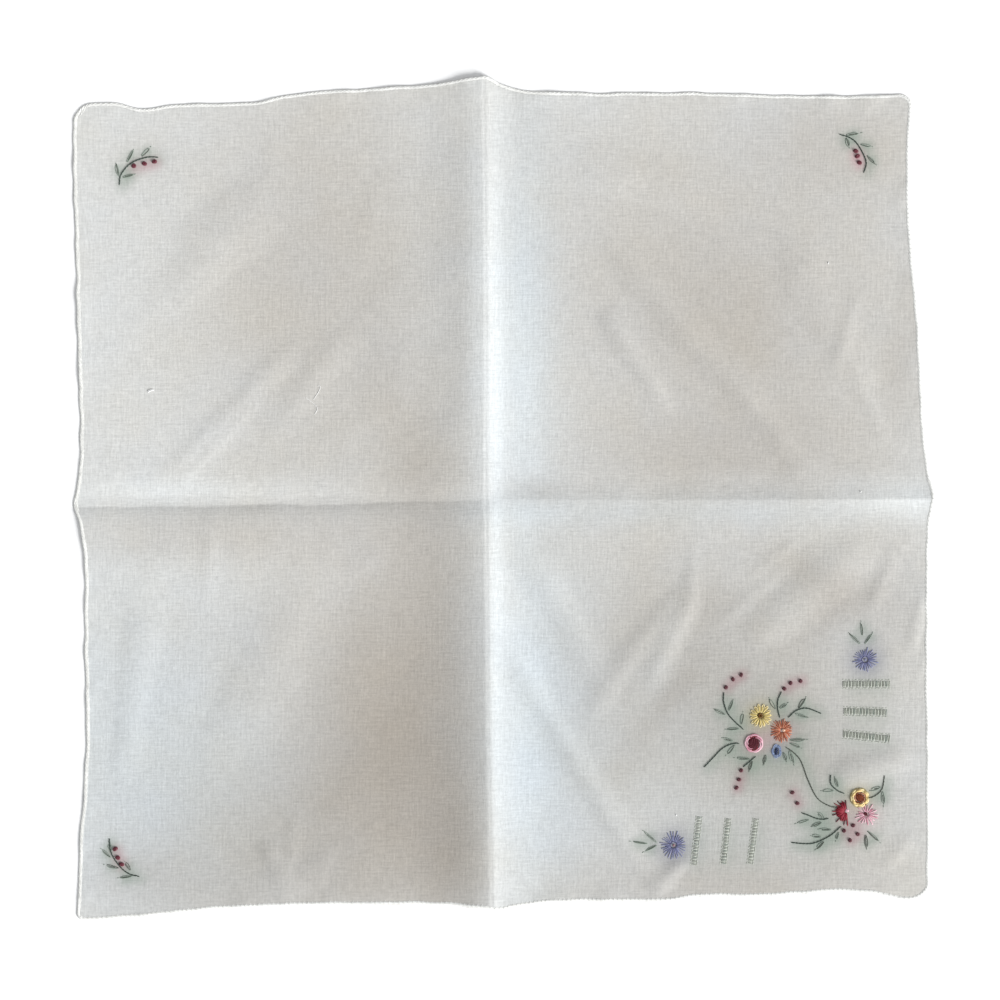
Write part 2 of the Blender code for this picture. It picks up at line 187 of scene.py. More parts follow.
# Threads: name, label and the sRGB colour as it looks on the cloth
ThreadColour = namedtuple("ThreadColour", "name label red green blue")
THREAD_COLOURS = table(
    ThreadColour,
    ("stem_green", "Stem green", 54, 70, 61), ("link_green", "Fine stem grey-green", 84, 90, 80),
    ("leaf_green", "Leaf grey-green", 136, 150, 138), ("berry", "Berry maroon", 96, 50, 58),
    ("cherry", "Cherry", 104, 44, 56), ("crimson", "Crimson", 148, 28, 48),
    ("dark_crimson", "Dark crimson", 92, 16, 34), ("pink", "Pink", 222, 154, 172),
    ("pale_pink", "Pale pink", 240, 196, 208), ("yellow", "Yellow", 218, 196, 120),
    ("pale_yellow", "Pale yellow", 244, 226, 172), ("gold", "Gold", 238, 206, 140),
    # Olive ochre, dusky pink and dusky blue also paint shade on the cloth round the flower heads; dusky blue is
    # used for nothing else
    ("ochre", "Dark ochre", 116, 78, 14), ("ochre_shade", "Olive ochre", 168, 150, 92),
    ("rose_shade", "Dusky pink", 162, 120, 128), ("dim_pink", "Dim pink", 190, 138, 150),
    ("dusk_blue", "Dusky blue", 122, 126, 140), ("orange", "Orange", 196, 114, 80),
    ("deep_orange", "Deep orange", 164, 86, 58), ("coral", "Coral", 212, 148, 120),
    ("peach", "Peach", 252, 206, 180), ("periwinkle", "Periwinkle", 130, 136, 174),
    ("light_violet", "Light violet", 150, 150, 184), ("violet", "Violet", 98, 98, 136),
    ("light_blue", "Light blue", 152, 168, 200), ("blue", "Blue", 116, 134, 172),
    ("navy", "Navy", 42, 54, 90), ("rust", "Rust brown", 132, 56, 18),
    ("ladder_pale", "Pale green", 206, 212, 198), ("ladder_dark", "Grey-green", 154, 160, 146),
    ("white", "White", 240, 240, 236), ("lint_white", "Lint white", 252, 252, 250),
)

# The spray and the corner twigs, in millimetres of the plan
STEM_RADIUS = 0.18
FINE_STEM_RADIUS = 0.16
Stem = namedtuple("Stem", "path colour radius", defaults=("stem_green", STEM_RADIUS))
Leaf = namedtuple("Leaf", "tip_x tip_y base_x base_y")
Knot = namedtuple("Knot", "x y")
Twig = namedtuple("Twig", "stem leaves knots")

UPPER_STEMS = (
    Stem(((93.5, -82.9), (90.6, -80.4), (87.7, -77.1), (86.2, -72.9), (86.2, -69.3))),
    Stem(((106.6, -78.7), (105.8, -75.8), (105.8, -72.3), (107.1, -69.1))),
    Stem(((109.5, -78.7), (111.3, -76.8), (113.2, -75.7), (116.4, -75.2), (121.6, -77.1))),
    Stem(((91.9, -87.8), (89.0, -88.1), (85.7, -89.7), (82.8, -92.6), (79.0, -96.6))),
    Stem(((97.8, -92.5), (95.4, -94.6), (93.2, -96.5))),
    Stem(
        ((108.4, -89.2), (111.1, -90.9), (114.1, -94.2), (116.7, -101.1), (120.1, -107.7), (124.6, -110.6),
         (127.7, -111.0)),
        "link_green", FINE_STEM_RADIUS,
    ),
)
LOWER_STEMS = (
    Stem(((124.2, -114.9), (122.2, -115.4), (119.5, -115.0), (117.1, -114.0), (114.2, -113.0))),
    Stem(((128.7, -117.8), (124.3, -121.5), (118.0, -124.1), (110.5, -123.8))),
    Stem(((130.0, -106.0), (127.6, -105.1), (125.0, -102.6), (124.8, -99.2))),
    Stem(
        ((138.4, -107.8), (140.5, -107.1), (142.6, -105.6), (143.8, -103.5), (144.3, -99.4)),
        "link_green", FINE_STEM_RADIUS,
    ),
)
UPPER_LEAVES = table(
    Leaf,
    (82.6, -75.5, 87.0, -77.5), (89.6, -72.3, 88.0, -76.2), (93.2, -76.5, 92.5, -81.0),
    (87.0, -82.8, 91.9, -82.6), (102.7, -71.6, 105.1, -75.5), (109.3, -73.3, 106.4, -75.2),
    (116.0, -71.1, 113.2, -75.4), (116.7, -78.6, 111.9, -77.1), (116.3, -86.5, 110.0, -86.7),
    (114.5, -89.7, 110.0, -87.8), (85.6, -85.9, 89.6, -87.0), (87.0, -92.3, 90.2, -88.4),
    (90.1, -93.1, 95.7, -93.5), (95.4, -98.1, 96.7, -94.3), (100.6, -95.6, 101.5, -92.0),
    (111.6, -95.6, 110.0, -90.4), (109.0, -94.6, 107.7, -91.0),
)
LOWER_LEAVES = table(
    Leaf,
    (120.1, -112.8, 122.5, -115.2), (112.3, -116.9, 117.1, -115.5), (118.0, -118.0, 121.6, -116.4),
    (120.7, -119.0, 125.2, -119.1), (117.7, -121.3, 121.6, -121.7), (119.5, -126.3, 122.5, -123.3),
    (126.7, -123.3, 127.9, -120.0), (126.4, -100.2, 127.6, -103.8), (121.6, -105.1, 126.1, -105.0),
    (139.0, -105.0, 143.1, -103.7), (144.0, -110.6, 143.7, -105.2), (142.9, -123.9, 138.1, -119.5),
    (138.0, -126.2, 137.5, -120.9),
)
SPRAY_KNOTS = table(
    Knot,
    (87.0, -67.6), (89.6, -64.7), (92.5, -63.1), (108.1, -68.1), (110.4, -66.1), (114.0, -65.3),
    (92.5, -97.7), (91.7, -101.0), (90.8, -104.0), (111.0, -105.7), (112.8, -109.5), (133.0, -117.6),
    (129.7, -119.5), (134.7, -120.7), (131.9, -122.9),
)
TWIGS = {
    "top_left": Twig(
        ((-132.4, 114.0), (-131.9, 117.8), (-128.3, 122.0), (-122.7, 124.1), (-118.3, 124.2)),
        table(
            Leaf,
            (-133.7, 122.0, -132.7, 117.3), (-127.4, 126.7, -129.7, 122.3), (-121.1, 128.0, -124.5, 124.5),
            (-126.9, 118.0, -131.3, 116.9),
        ),
        table(Knot, (-127.2, 121.1), (-123.4, 121.9), (-119.8, 122.6)),
    ),
    "top_right": Twig(
        ((127.8, 132.5), (131.7, 131.3), (134.7, 128.8), (137.7, 122.8), (136.9, 118.5)),
        table(
            Leaf,
            (135.9, 133.0, 130.5, 132.1), (140.1, 127.9, 135.6, 128.8), (141.3, 121.6, 138.0, 124.9),
            (131.7, 127.6, 130.5, 131.3),
        ),
        table(Knot, (134.0, 126.4), (134.6, 124.6), (135.3, 122.2)),
    ),
    "bottom_left": Twig(
        ((-125.1, -136.0), (-128.7, -135.2), (-132.1, -132.6), (-135.4, -127.5), (-136.1, -122.3)),
        table(
            Leaf,
            (-139.0, -126.1, -135.5, -129.3), (-138.0, -131.7, -132.7, -133.1),
            (-132.9, -136.6, -127.8, -136.0), (-136.2, -123.8, -135.4, -127.0),
            (-130.6, -130.6, -128.5, -133.8),
        ),
        table(Knot, (-134.0, -126.1), (-133.0, -129.2), (-131.6, -131.6)),
    ),
}

# Single blue flowers, each with its three leaves
BlueFlower = namedtuple("BlueFlower", "x y radius heart leaves")
BLUE_FLOWERS = (
    BlueFlower(
        137.4, -57.6, 4.8, "light_violet",
        table(
            Leaf,
            (135.9, -43.7, 136.3, -48.3), (131.5, -47.9, 135.2, -51.6), (140.1, -47.7, 137.5, -51.4),
        ),
    ),
    BlueFlower(
        68.1, -124.7, 5.2, "rose_shade",
        table(
            Leaf,
            (57.0, -119.5, 61.6, -123.4), (52.4, -123.2, 58.1, -124.1), (57.2, -127.1, 61.4, -125.0),
        ),
    ),
)

# Drawn-thread ladders: the middle of each end, the height of the bars and how many bars
Ladder = namedtuple("Ladder", "start_x start_y end_x end_y height bars")
SIDE_LADDERS = table(
    Ladder,
    (129.4, -66.4, 146.1, -66.4, 2.8, 14), (129.8, -76.2, 145.0, -76.7, 2.8, 13),
    (129.6, -84.5, 146.1, -86.2, 2.9, 14),
)
LOWER_LADDERS = table(
    Ladder,
    (77.3, -114.6, 75.3, -131.6, 1.9, 14), (87.8, -115.3, 86.0, -131.2, 1.9, 14),
    (97.8, -115.3, 95.7, -131.2, 1.9, 14),
)

# Loose bits of white lint that lie on the cloth
Bit = namedtuple("Bit", "radius path")
LINT = (
    Bit(0.16, ((-122.5, 39.4), (-121.4, 40.0), (-120.0, 40.2))),
    Bit(0.18, ((-122.3, 39.1), (-121.2, 39.7), (-119.8, 40.0))),
    Bit(0.08, ((-60.9, 41.5), (-59.8, 41.4), (-60.1, 39.9), (-60.9, 38.5), (-62.3, 36.4))),
    Bit(0.08, ((-65.2, 37.4), (-63.8, 36.4), (-61.8, 34.7), (-60.8, 33.1), (-61.9, 31.1))),
    Bit(0.20, ((124.0, 86.6), (124.0, 85.4))),
    Bit(0.20, ((69.0, -113.4), (69.1, -114.2))),
    Bit(0.24, ((135.2, 3.0), (136.0, 3.3))),
)

SEED = 41


def linear(red, green, blue):
    """Linear colour of an sRGB one given from 0 to 255."""
    shares = [value / 255 for value in (red, green, blue)]
    return tuple(s / 12.92 if s <= 0.04045 else ((s + 0.055) / 1.055) ** 2.4 for s in shares)


class HankyLinen(bpy.types.PropertyGroup):
    """The cloth and its rolled hem."""

    thickness: FloatProperty(
        name="Cloth thickness", description="Thickness of the plain cloth", default=0.00026, unit="LENGTH"
    )
    weave_pitch: FloatProperty(
        name="Weave pitch", description="Distance from one thread of the weave to the next",
        default=0.00044, unit="LENGTH",
    )
    cool: FloatVectorProperty(
        name="Cool linen", description="Colour of the cloth where it looks cool",
        subtype="COLOR", default=linear(222, 224, 224),
    )
    warm: FloatVectorProperty(
        name="Warm linen", description="Colour of the cloth where it looks warm",
        subtype="COLOR", default=linear(221, 220, 215),
    )
    hem_colour: FloatVectorProperty(
        name="Hem", description="Colour of the rolled hem", subtype="COLOR", default=linear(233, 233, 230)
    )
    hem_radius: FloatProperty(
        name="Hem radius", description="Half the width of the rolled hem", default=0.00060, unit="LENGTH"
    )
    hem_flatness: FloatProperty(
        name="Hem flatness", description="Height of the pressed hem as a share of its width", default=0.30
    )
    whip_pitch: FloatProperty(
        name="Whip pitch", description="Distance from one hem stitch to the next", default=0.0016, unit="LENGTH"
    )
    whip_radius: FloatProperty(
        name="Whip thread", description="Radius of the hem's thread", default=0.00009, unit="LENGTH"
    )


class HankyThreads(bpy.types.PropertyGroup):
    """The colours of the embroidery threads."""

    __annotations__ = {
        thread.name: FloatVectorProperty(
            name=thread.label,
            description=f"Colour of the {thread.label.lower()} thread",
            subtype="COLOR",
            default=linear(thread.red, thread.green, thread.blue),
        )
        for thread in THREAD_COLOURS
    }


class HankyStage(bpy.types.PropertyGroup):
    """The floor, the lights and the camera."""

    floor: FloatVectorProperty(
        name="Floor", description="Colour of the floor", subtype="COLOR", default=(0.95, 0.95, 0.95)
    )
    window: FloatProperty(
        name="Window light", description="Strength of the light from the lower right", default=5.35
    )
    window_height: FloatProperty(
        name="Window height", description="Angle of the window light over the floor",
        default=math.radians(22), unit="ROTATION",
    )
    window_softness: FloatProperty(
        name="Window softness", description="Angle that the window fills as the cloth sees it",
        default=math.radians(24), unit="ROTATION",
    )
    sky: FloatProperty(name="Fill", description="Strength of the even light from all round", default=0.535)
    view_width: FloatProperty(
        name="View width", description="Width of floor that the picture shows", default=0.3620, unit="LENGTH"
    )
    lens: FloatProperty(name="Lens", description="Focal length in millimetres", default=55.0)


def ease(value):
    """Smooth step from 0 at 0 to 1 at 1."""
    value = min(max(value, 0.0), 1.0)
    return value * value * (3.0 - 2.0 * value)


def fade(distance, run, hold=0.0):
    """1 at a line and close to it, easing to 0 at the end of the run."""
    return 1.0 - ease((distance - hold) / (run - hold))


def smooth_value(rows, at, column):
    """Value of one column of a table at a place between its rows, on a smooth curve through them."""
    along = [row.along for row in rows]
    values = [getattr(row, column) for row in rows]
    last = len(rows) - 1
    at = min(max(at, along[0]), along[-1])
    right = next(i for i in range(1, len(rows)) if at <= along[i])
    left = right - 1

    def slope(i):
        before, after = max(i - 1, 0), min(i + 1, last)
        return (values[after] - values[before]) / (along[after] - along[before])

    run = along[right] - along[left]
    t = (at - along[left]) / run
    return (
        (2 * t**3 - 3 * t**2 + 1) * values[left]
        + (t**3 - 2 * t**2 + t) * slope(left) * run
        + (3 * t**2 - 2 * t**3) * values[right]
        + (t**3 - t**2) * slope(right) * run
    )


def round_corner(a, b):
    """Bends the square corner of the plan into an arc, keeping the width of the hem."""
    side_x, edge_x = ("left", LEFT) if a < 0 else ("right", RIGHT)
    side_y, edge_y = ("bottom", BOTTOM) if b < 0 else ("top", TOP)
    radius = CORNER_RADIUS[f"{side_y}_{side_x}"]
    out_x = -1 if a < 0 else 1
    out_y = -1 if b < 0 else 1
    s = 1.0 - abs(edge_x - a) / radius
    t = 1.0 - abs(edge_y - b) / radius
    if s <= 0 or t <= 0:
        return a, b
    reach = max(s, t)
    angle = math.pi / 4 * (t / s if s >= t else 2.0 - s / t)
    centre_x = edge_x - out_x * radius
    centre_y = edge_y - out_y * radius
    return (
        centre_x + out_x * radius * reach * math.cos(angle),
        centre_y + out_y * radius * reach * math.sin(angle),
    )


def lay_out(a, b):
    """Place on the surface of a point of the plan, with the uneven edges and the bowed creases."""
    a, b = round_corner(a, b)
    x = a + smooth_value(UPRIGHT_CREASE, b, "aside") * fade(abs(a), CREASE_EASE)
    y = b + smooth_value(LEVEL_CREASE, a, "aside") * fade(abs(b), CREASE_EASE)
    x -= smooth_value(LEFT_EDGE, b, "out") * fade(a - LEFT, EDGE_EASE, EDGE_STIFF)
    x += smooth_value(RIGHT_EDGE, b, "out") * fade(RIGHT - a, EDGE_EASE, EDGE_STIFF)
    y -= smooth_value(BOTTOM_EDGE, a, "out") * fade(b - BOTTOM, EDGE_EASE, EDGE_STIFF)
    y += smooth_value(TOP_EDGE, a, "out") * fade(TOP - b, EDGE_EASE, EDGE_STIFF)
    return x, y


def flank_fall(flank, distance):
    """Share of a raised crease's height that is left at a distance from the fold."""
    near = math.exp(-((distance / flank.run) ** flank.power))
    slack = math.exp(-distance / flank.slack_run)
    return (1.0 - flank.slack_share) * near + flank.slack_share * slack


def crease_lift(a, b):
    """Height that the creases give.

    The upright one is raised, the level one is sunk to the left of it and raised to the right.
    """
    upright = UPRIGHT_RIGHT_FLANK if a > 0 else UPRIGHT_LEFT_FLANK
    level = LEVEL_UPPER_FLANK if b > 0 else LEVEL_LOWER_FLANK
    upright_lift = smooth_value(UPRIGHT_CREASE, b, "height") * flank_fall(upright, abs(a))
    level_height = smooth_value(LEVEL_CREASE, a, "height")
    raised = level_height * flank_fall(level, abs(b))
    run = abs(b) / SUNK_CREASE_RUN
    sunk = level_height * run * math.exp(1.0 - run) * (SUNK_UPPER_SHARE if b > 0 else 1.0)
    turned = ease((a + TURN_OVER) / (2 * TURN_OVER))
    pinch = PINCH_DEPTH * math.exp(-((a / PINCH_WIDTH) ** 2))
    return upright_lift + raised * turned + sunk * (1.0 - turned) - pinch


def wave_lift(waves, x, y):
    """Height that waves or wrinkles give."""
    total = 0.0
    for wave in waves:
        heading = math.radians(wave.heading)
        dx, dy = x - wave.x, y - wave.y
        along = dx * math.cos(heading) + dy * math.sin(heading)
        aside = dy * math.cos(heading) - dx * math.sin(heading)
        if abs(along) < wave.length and abs(aside) < 3 * wave.half_width:
            total += wave.height * math.exp(-((2 * along / wave.length) ** 4) - (aside / wave.half_width) ** 2)
    return total


def ripple(a, b, kind, layer):
    """A gentle unevenness from -height to height. Each layer has a pattern of its own."""
    return kind.height * noise.noise(Vector((a / kind.length, b / kind.length, layer)))


def edge_distance(a, b):
    """How far a point of the plan lies in from the nearest edge."""
    return min(a - LEFT, RIGHT - a, b - BOTTOM, TOP - b)


def cloth_height(a, b):
    """Height of the cloth's underside over the surface it lies on."""
    uneven = sum(ripple(a, b, kind, layer) for layer, kind in enumerate(RIPPLES))
    flutter = max(0.0, ripple(a, b, HEM_FLUTTER, FLUTTER_LAYER)) * fade(edge_distance(a, b), HEM_REACH * 2)
    lying = max(0.0, crease_lift(a, b) + wave_lift(WAVES, a, b) + uneven - CONTACT_SLACK)
    return max(0.0, lying + wave_lift(WRINKLES, a, b)) + flutter


def plan_shift():
    """The move from plan coordinates to the row frame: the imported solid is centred, and the plan isn't."""
    sides = [(LEFT, RIGHT, BOTTOM), (LEFT, RIGHT, TOP)]
    steps = range(RIM_STEPS + 1)
    rim = [lay_out(low + (high - low) * i / RIM_STEPS, b) for low, high, b in sides for i in steps]
    rim += [lay_out(a, BOTTOM + (TOP - BOTTOM) * i / RIM_STEPS) for a in (LEFT, RIGHT) for i in steps]
    low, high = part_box(NODE)
    middle_x = (min(x for x, _ in rim) + max(x for x, _ in rim)) / 2
    middle_y = (min(y for _, y in rim) + max(y for _, y in rim)) / 2
    return Vector(((low.x + high.x) / 2 - middle_x, (low.y + high.y) / 2 - middle_y, low.z))


SHIFT = plan_shift()


def cloth_point(a, b, rise=0.0):
    """A point of the cloth's underside in the row frame, or at a height over it."""
    x, y = lay_out(a, b)
    near_edge = fade(edge_distance(a, b), HEM_REACH)
    x += ripple(a, b, HEM_WANDER, WANDER_X_LAYER) * near_edge
    y += ripple(a, b, HEM_WANDER, WANDER_Y_LAYER) * near_edge
    return SHIFT + Vector((x, y, cloth_height(a, b) + rise))


@functools.cache
def cloth_surface():
    """The laid cloth, to drop threads on."""
    cloth = bpy.data.objects["linen_cloth"]
    return BVHTree.FromObject(cloth, bpy.context.evaluated_depsgraph_get())


def on_cloth(x, y, rise):
    """A point over the cloth's upper face, straight above a place of the plan. All in millimetres."""
    above = SHIFT + Vector((x * MM, y * MM, 1.0))
    place = cloth_surface().ray_cast(above, Vector((0, 0, -1)))[0]
    if place is None:
        raise ValueError(f"no cloth at {x:.1f}, {y:.1f} mm of the plan")
    return place + Vector((0, 0, rise * MM))


def stations(low, high):
    """Places of the sheet's mesh lines: close at the hems and beside the crease at 0, even between."""
    places = [0.0]
    for end in (low, high):
        sign = 1 if end > 0 else -1
        place = 0.0
        for reach, step in CREASE_STEPS:
            while place < reach - step / 2:
                place += step
                places.append(sign * place)
        inset = 0.0
        rim = [abs(end)]
        for reach, step in HEM_STEPS:
            while inset < reach - step / 2:
                inset += step
                rim.append(abs(end) - inset)
        count = round((rim[-1] - place) / PLAIN_STEP)
        places += [sign * (place + (rim[-1] - place) * i / count) for i in range(1, count)]
        places += [sign * value for value in rim]
    return sorted(places)


def finish_piece(name, mesh):
    """Links a finished mesh as a piece that rides on the cloth's body."""
    piece = bpy.data.objects.new(name, mesh)
    bpy.context.scene.collection.objects.link(piece)
    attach(piece, BODY)
    return piece


# Materials


class Shader:
    """A material's node tree with short ways to add and join nodes."""

    def __init__(self, name):
        self.material = bpy.data.materials.new(name)
        self.material.use_nodes = True
        self.tree = self.material.node_tree
        self.principled = self.tree.nodes["Principled BSDF"]

    def add(self, kind, inputs=(), **settings):
        """A new node, with each of its inputs joined to a socket or set to a value."""
        node = self.tree.nodes.new(kind)
        for key, value in settings.items():
            setattr(node, key, value)
        for key, value in dict(inputs).items():
            if isinstance(value, bpy.types.NodeSocket):
                self.tree.links.new(value, node.inputs[key])
            else:
                node.inputs[key].default_value = value
        return node

    def stretched_noise(self, coords, scale, detail, roughness=0.5):
        """Noise with its own scale along each axis."""
        mapping = self.add("ShaderNodeMapping", {"Vector": coords, "Scale": scale})
        inputs = {"Vector": mapping.outputs[0], "Scale": 1.0, "Detail": detail, "Roughness": roughness}
        return self.add("ShaderNodeTexNoise", inputs).outputs[0]

    def maths(self, operation, first, second, third=None):
        """The outcome of one sum on two or three inputs."""
        inputs = {0: first, 1: second}
        if third is not None:
            inputs[2] = third
        return self.add("ShaderNodeMath", inputs, operation=operation).outputs[0]

    def mix(self, factor, first, second, blend="MIX"):
        """The second colour mixed into the first, or blended with it."""
        node = self.add("ShaderNodeMix", {0: factor, 6: first, 7: second}, data_type="RGBA", blend_type=blend)
        return node.outputs[2]

    def bump(self, height, distance, strength):
        """Fine relief on the surface."""
        node = self.add("ShaderNodeBump", {"Height": height, "Distance": distance, "Strength": strength})
        self.tree.links.new(node.outputs[0], self.principled.inputs["Normal"])

    def set(self, **values):
        """Sets inputs of the surface; an underscore stands for a blank in a name."""
        for key, value in values.items():
            self.principled.inputs[key.replace("_", " ")].default_value = value

    def colour(self, socket):
        """Joins a socket to the surface's colour."""
        self.tree.links.new(socket, self.principled.inputs["Base Color"])


def linen_material(name, cool, warm, tinted):
    """Fine plain weave with slubs, a little uneven in whiteness, with painted shade and light and show-through
    tints.
    """
    linen = bpy.context.scene.hanky_linen
    shader = Shader(name)
    coords = shader.add("ShaderNodeTexCoord").outputs["Object"]
    warp = shader.stretched_noise(coords, (1500, 190, 1), detail=3.0, roughness=0.65)
    weft = shader.stretched_noise(coords, (190, 1500, 1), detail=3.0, roughness=0.65)
    slubs = shader.maths("ADD", warp, weft)
    speckle = shader.stretched_noise(coords, (1050, 1050, 1050), detail=2.0, roughness=0.6)
    grain = shader.maths("MULTIPLY_ADD", slubs, 0.36, shader.maths("MULTIPLY", speckle, 0.28))
    cloud = shader.stretched_noise(coords, (26, 26, 26), detail=3.0, roughness=0.55)
    patch = shader.maths("MULTIPLY_ADD", cloud, 2.2, -0.6)
    base = shader.mix(patch, (*cool, 1.0), (*warm, 1.0))
    spread = {"Value": grain, "From Min": 0.30, "From Max": 0.70, "To Min": 0.80, "To Max": 1.18}
    light = shader.add("ShaderNodeMapRange", spread).outputs[0]
    grey = shader.add("ShaderNodeCombineColor", {0: light, 1: light, 2: light}).outputs[0]
    base = shader.mix(1.0, base, grey, "MULTIPLY")
    if tinted:
        # Painted shade and painted light, read from the cloth's attribute
        shade = shader.add("ShaderNodeAttribute", attribute_name="painted_shade_and_light")
        base = shader.mix(1.0, base, shade.outputs["Color"], "MULTIPLY")
        # Tints of thread showing through, and painted shade round the flower heads
        tint = shader.add("ShaderNodeAttribute", attribute_name="show_through")
        base = shader.mix(tint.outputs["Alpha"], base, tint.outputs["Color"])
    shader.colour(base)
    turns = math.pi / 10 / linen.weave_pitch
    bands = {"Vector": coords, "Scale": turns, "Distortion": 1.2, "Detail": 1.0}
    threads = [shader.add("ShaderNodeTexWave", bands, bands_direction=way).outputs[1] for way in "XY"]
    weave = shader.maths("MULTIPLY", shader.maths("MAXIMUM", *threads), 0.5)
    shader.bump(shader.maths("MULTIPLY_ADD", slubs, 0.9, weave), distance=0.00009, strength=0.8)
    shader.set(Roughness=0.88, Specular_IOR_Level=0.2, Sheen_Weight=0.12, Sheen_Roughness=0.5)
    return shader.material


def thread_material(name, colour):
    """Stranded cotton: fine fibres, a soft lustre and a little light and dark along it."""
    shader = Shader(name)
    coords = shader.add("ShaderNodeTexCoord").outputs["Object"]
    fibre = shader.stretched_noise(coords, (4200, 4200, 4200), detail=2.0)
    drift = shader.stretched_noise(coords, (520, 520, 520), detail=1.0)
    dark = tuple(value * 0.55 for value in colour)
    light = tuple(min(1.0, value * 1.10 + 0.012) for value in colour)
    amount = shader.maths("MULTIPLY_ADD", fibre, 0.7, shader.maths("MULTIPLY_ADD", drift, 0.8, -0.25))
    shader.colour(shader.mix(amount, (*dark, 1.0), (*light, 1.0)))
    shader.bump(fibre, distance=0.00006, strength=0.7)
    shader.set(Roughness=0.62, Specular_IOR_Level=0.25, Sheen_Weight=0.08, Sheen_Roughness=0.4)
    return shader.material


def thread_colour(name):
    """The linear colour that a thread is set to."""
    return tuple(getattr(bpy.context.scene.hanky_threads, name))


def material_of_thread(name):
    """The material of a thread colour, made when it is first asked for."""
    known = bpy.data.materials.get(f"thread_{name}")
    return known or thread_material(f"thread_{name}", thread_colour(name))


# Thread: every stitch is one or two strands on a short route over the cloth, in millimetres of the plan

Strand = namedtuple("Strand", "points radii colour")

# In radii of the thread: how high it lies, how deep its ends sink and how long and thick they are;
# for a thread of two plies how far each stands from the middle, its radius and the length of a twist
LIE = 0.5
END_SINK = 0.7
END_LENGTH = 1.6
END_TAPER = 0.55
PLY_SPREAD = 0.5
PLY_RADIUS = 0.62
PLY_PITCH = 7.0

# The largest share of a stitch that one end takes, and how close two points are to be joined, in metres
END_SHARE = 0.45
WELD = 1e-7


def across(way):
    """The direction a quarter turn to the left of a flat one."""
    return Vector((-way.y, way.x))


def smooth_route(points, step):
    """Points about a step apart on a smooth line through the given ones."""
    points = [Vector(point) for point in points]
    if len(points) == 2:
        count = max(3, math.ceil((points[1] - points[0]).length / step) + 1)
        return [points[0].lerp(points[1], i / (count - 1)) for i in range(count)]
    ends = [2 * points[0] - points[1]] + points + [2 * points[-1] - points[-2]]
    route = []
    for before, first, second, after in zip(ends, ends[1:], ends[2:], ends[3:]):
        count = max(1, math.ceil((second - first).length / step))
        for i in range(count):
            t = i / count
            route.append(
                0.5
                * (
                    2 * first
                    + (second - before) * t
                    + (2 * before - 5 * first + 4 * second - after) * t * t
                    + (3 * first - before - 3 * second + after) * t**3
                )
            )
    return route + [points[-1]]


def lengths(route):
    """How far along the route each of its points lies."""
    run = [0.0]
    for here, there in zip(route, route[1:]):
        run.append(run[-1] + (there - here).length)
    return run


def laid(route, radius, colour, plies=2, rise=0.0):
    """One stitch along a flat route: it comes up through the cloth, lies on it and goes down again."""
    step = radius * PLY_PITCH / 6 if plies == 2 else radius * 3
    route = smooth_route(route, step)
    run = lengths(route)
    whole = max(run[-1], 1e-6)
    dip = min(END_SHARE * whole, END_LENGTH * radius)
    strands = []
    for ply in range(plies):
        points, radii = [], []
        for i, (here, at) in enumerate(zip(route, run)):
            up = ease(min(at, whole - at) / dip)
            way = (route[min(i + 1, len(route) - 1)] - route[max(i - 1, 0)]).normalized()
            side = across(way)
            turn = 2 * math.pi * (at / (radius * PLY_PITCH) + ply / 2)
            spread = PLY_SPREAD * radius * up if plies == 2 else 0.0
            place = here + side * math.cos(turn) * spread
            height = radius * (up * (LIE + END_SINK) - END_SINK) + math.sin(turn) * spread + rise * up
            points.append(on_cloth(place.x, place.y, height))
            thin = END_TAPER + (1 - END_TAPER) * up
            radii.append(radius * MM * thin * (PLY_RADIUS if plies == 2 else 1.0))
        strands.append(Strand(points, radii, colour))
    return strands


def worked(stitch, shapes, *details, **options):
    """All the strands of one kind of stitch over several shapes."""
    return [strand for shape in shapes for strand in stitch(shape, *details, **options)]


def swept_mesh(name, curve):
    """The mesh of a curve with its thickness, faces outward. The curve itself is taken away again."""
    source = bpy.data.objects.new(f"{name}_route", curve)
    bpy.context.scene.collection.objects.link(source)
    graph = bpy.context.evaluated_depsgraph_get()
    mesh = bpy.data.meshes.new_from_object(source.evaluated_get(graph))
    bpy.data.objects.remove(source)
    bpy.data.curves.remove(curve)
    mesh.name = name
    work = bmesh.new()
    work.from_mesh(mesh)
    bmesh.ops.remove_doubles(work, verts=work.verts, dist=WELD)
    bmesh.ops.recalc_face_normals(work, faces=work.faces)
    work.to_mesh(mesh)
    work.free()
    mesh.shade_smooth()
    return mesh


def thread_piece(name, strands):
    """One mesh of many six-sided threads, with a material for each colour."""
    colours = sorted({strand.colour for strand in strands})
    curve = bpy.data.curves.new(name, "CURVE")
    curve.dimensions = "3D"
    curve.fill_mode = "FULL"
    curve.bevel_depth = 1.0
    curve.bevel_resolution = 1
    curve.use_fill_caps = True
    for colour in colours:
        curve.materials.append(material_of_thread(colour))
    for strand in strands:
        spline = curve.splines.new("POLY")
        spline.points.add(len(strand.points) - 1)
        spline.points.foreach_set("co", [value for point in strand.points for value in (*point, 1.0)])
        spline.points.foreach_set("radius", strand.radii)
        spline.material_index = colours.index(strand.colour)
    return finish_piece(name, swept_mesh(name, curve))


# Embroidery stitches, in millimetres of the plan

STITCH_LENGTH = 2.1
STITCH_ADVANCE = 1.25
STITCH_SLANT = 0.75
LEAF_THREAD = 0.11
VEIN_THREAD = 0.10
LADDER_BAR = 0.125
LADDER_LINK = 0.05
LADDER_BUNDLE = 0.15
LADDER_EDGE = 0.08
LOOP_WIDEST = 0.72
LOOP_FOOT = 0.15

# A French knot of size 1: its turns, the reach and height of the first one, how far they close in and climb,
# the thread's radius, and the height and radius where it goes down in the middle
KNOT_TURNS = 2.3
KNOT_STEPS = 22
KNOT_REACH = 0.58
KNOT_CLOSING = 0.30
KNOT_HEIGHT = 0.05
KNOT_CLIMB = 0.20
KNOT_THREAD = 0.26
KNOT_HEART_HEIGHT = 0.18
KNOT_HEART_THREAD = 0.2


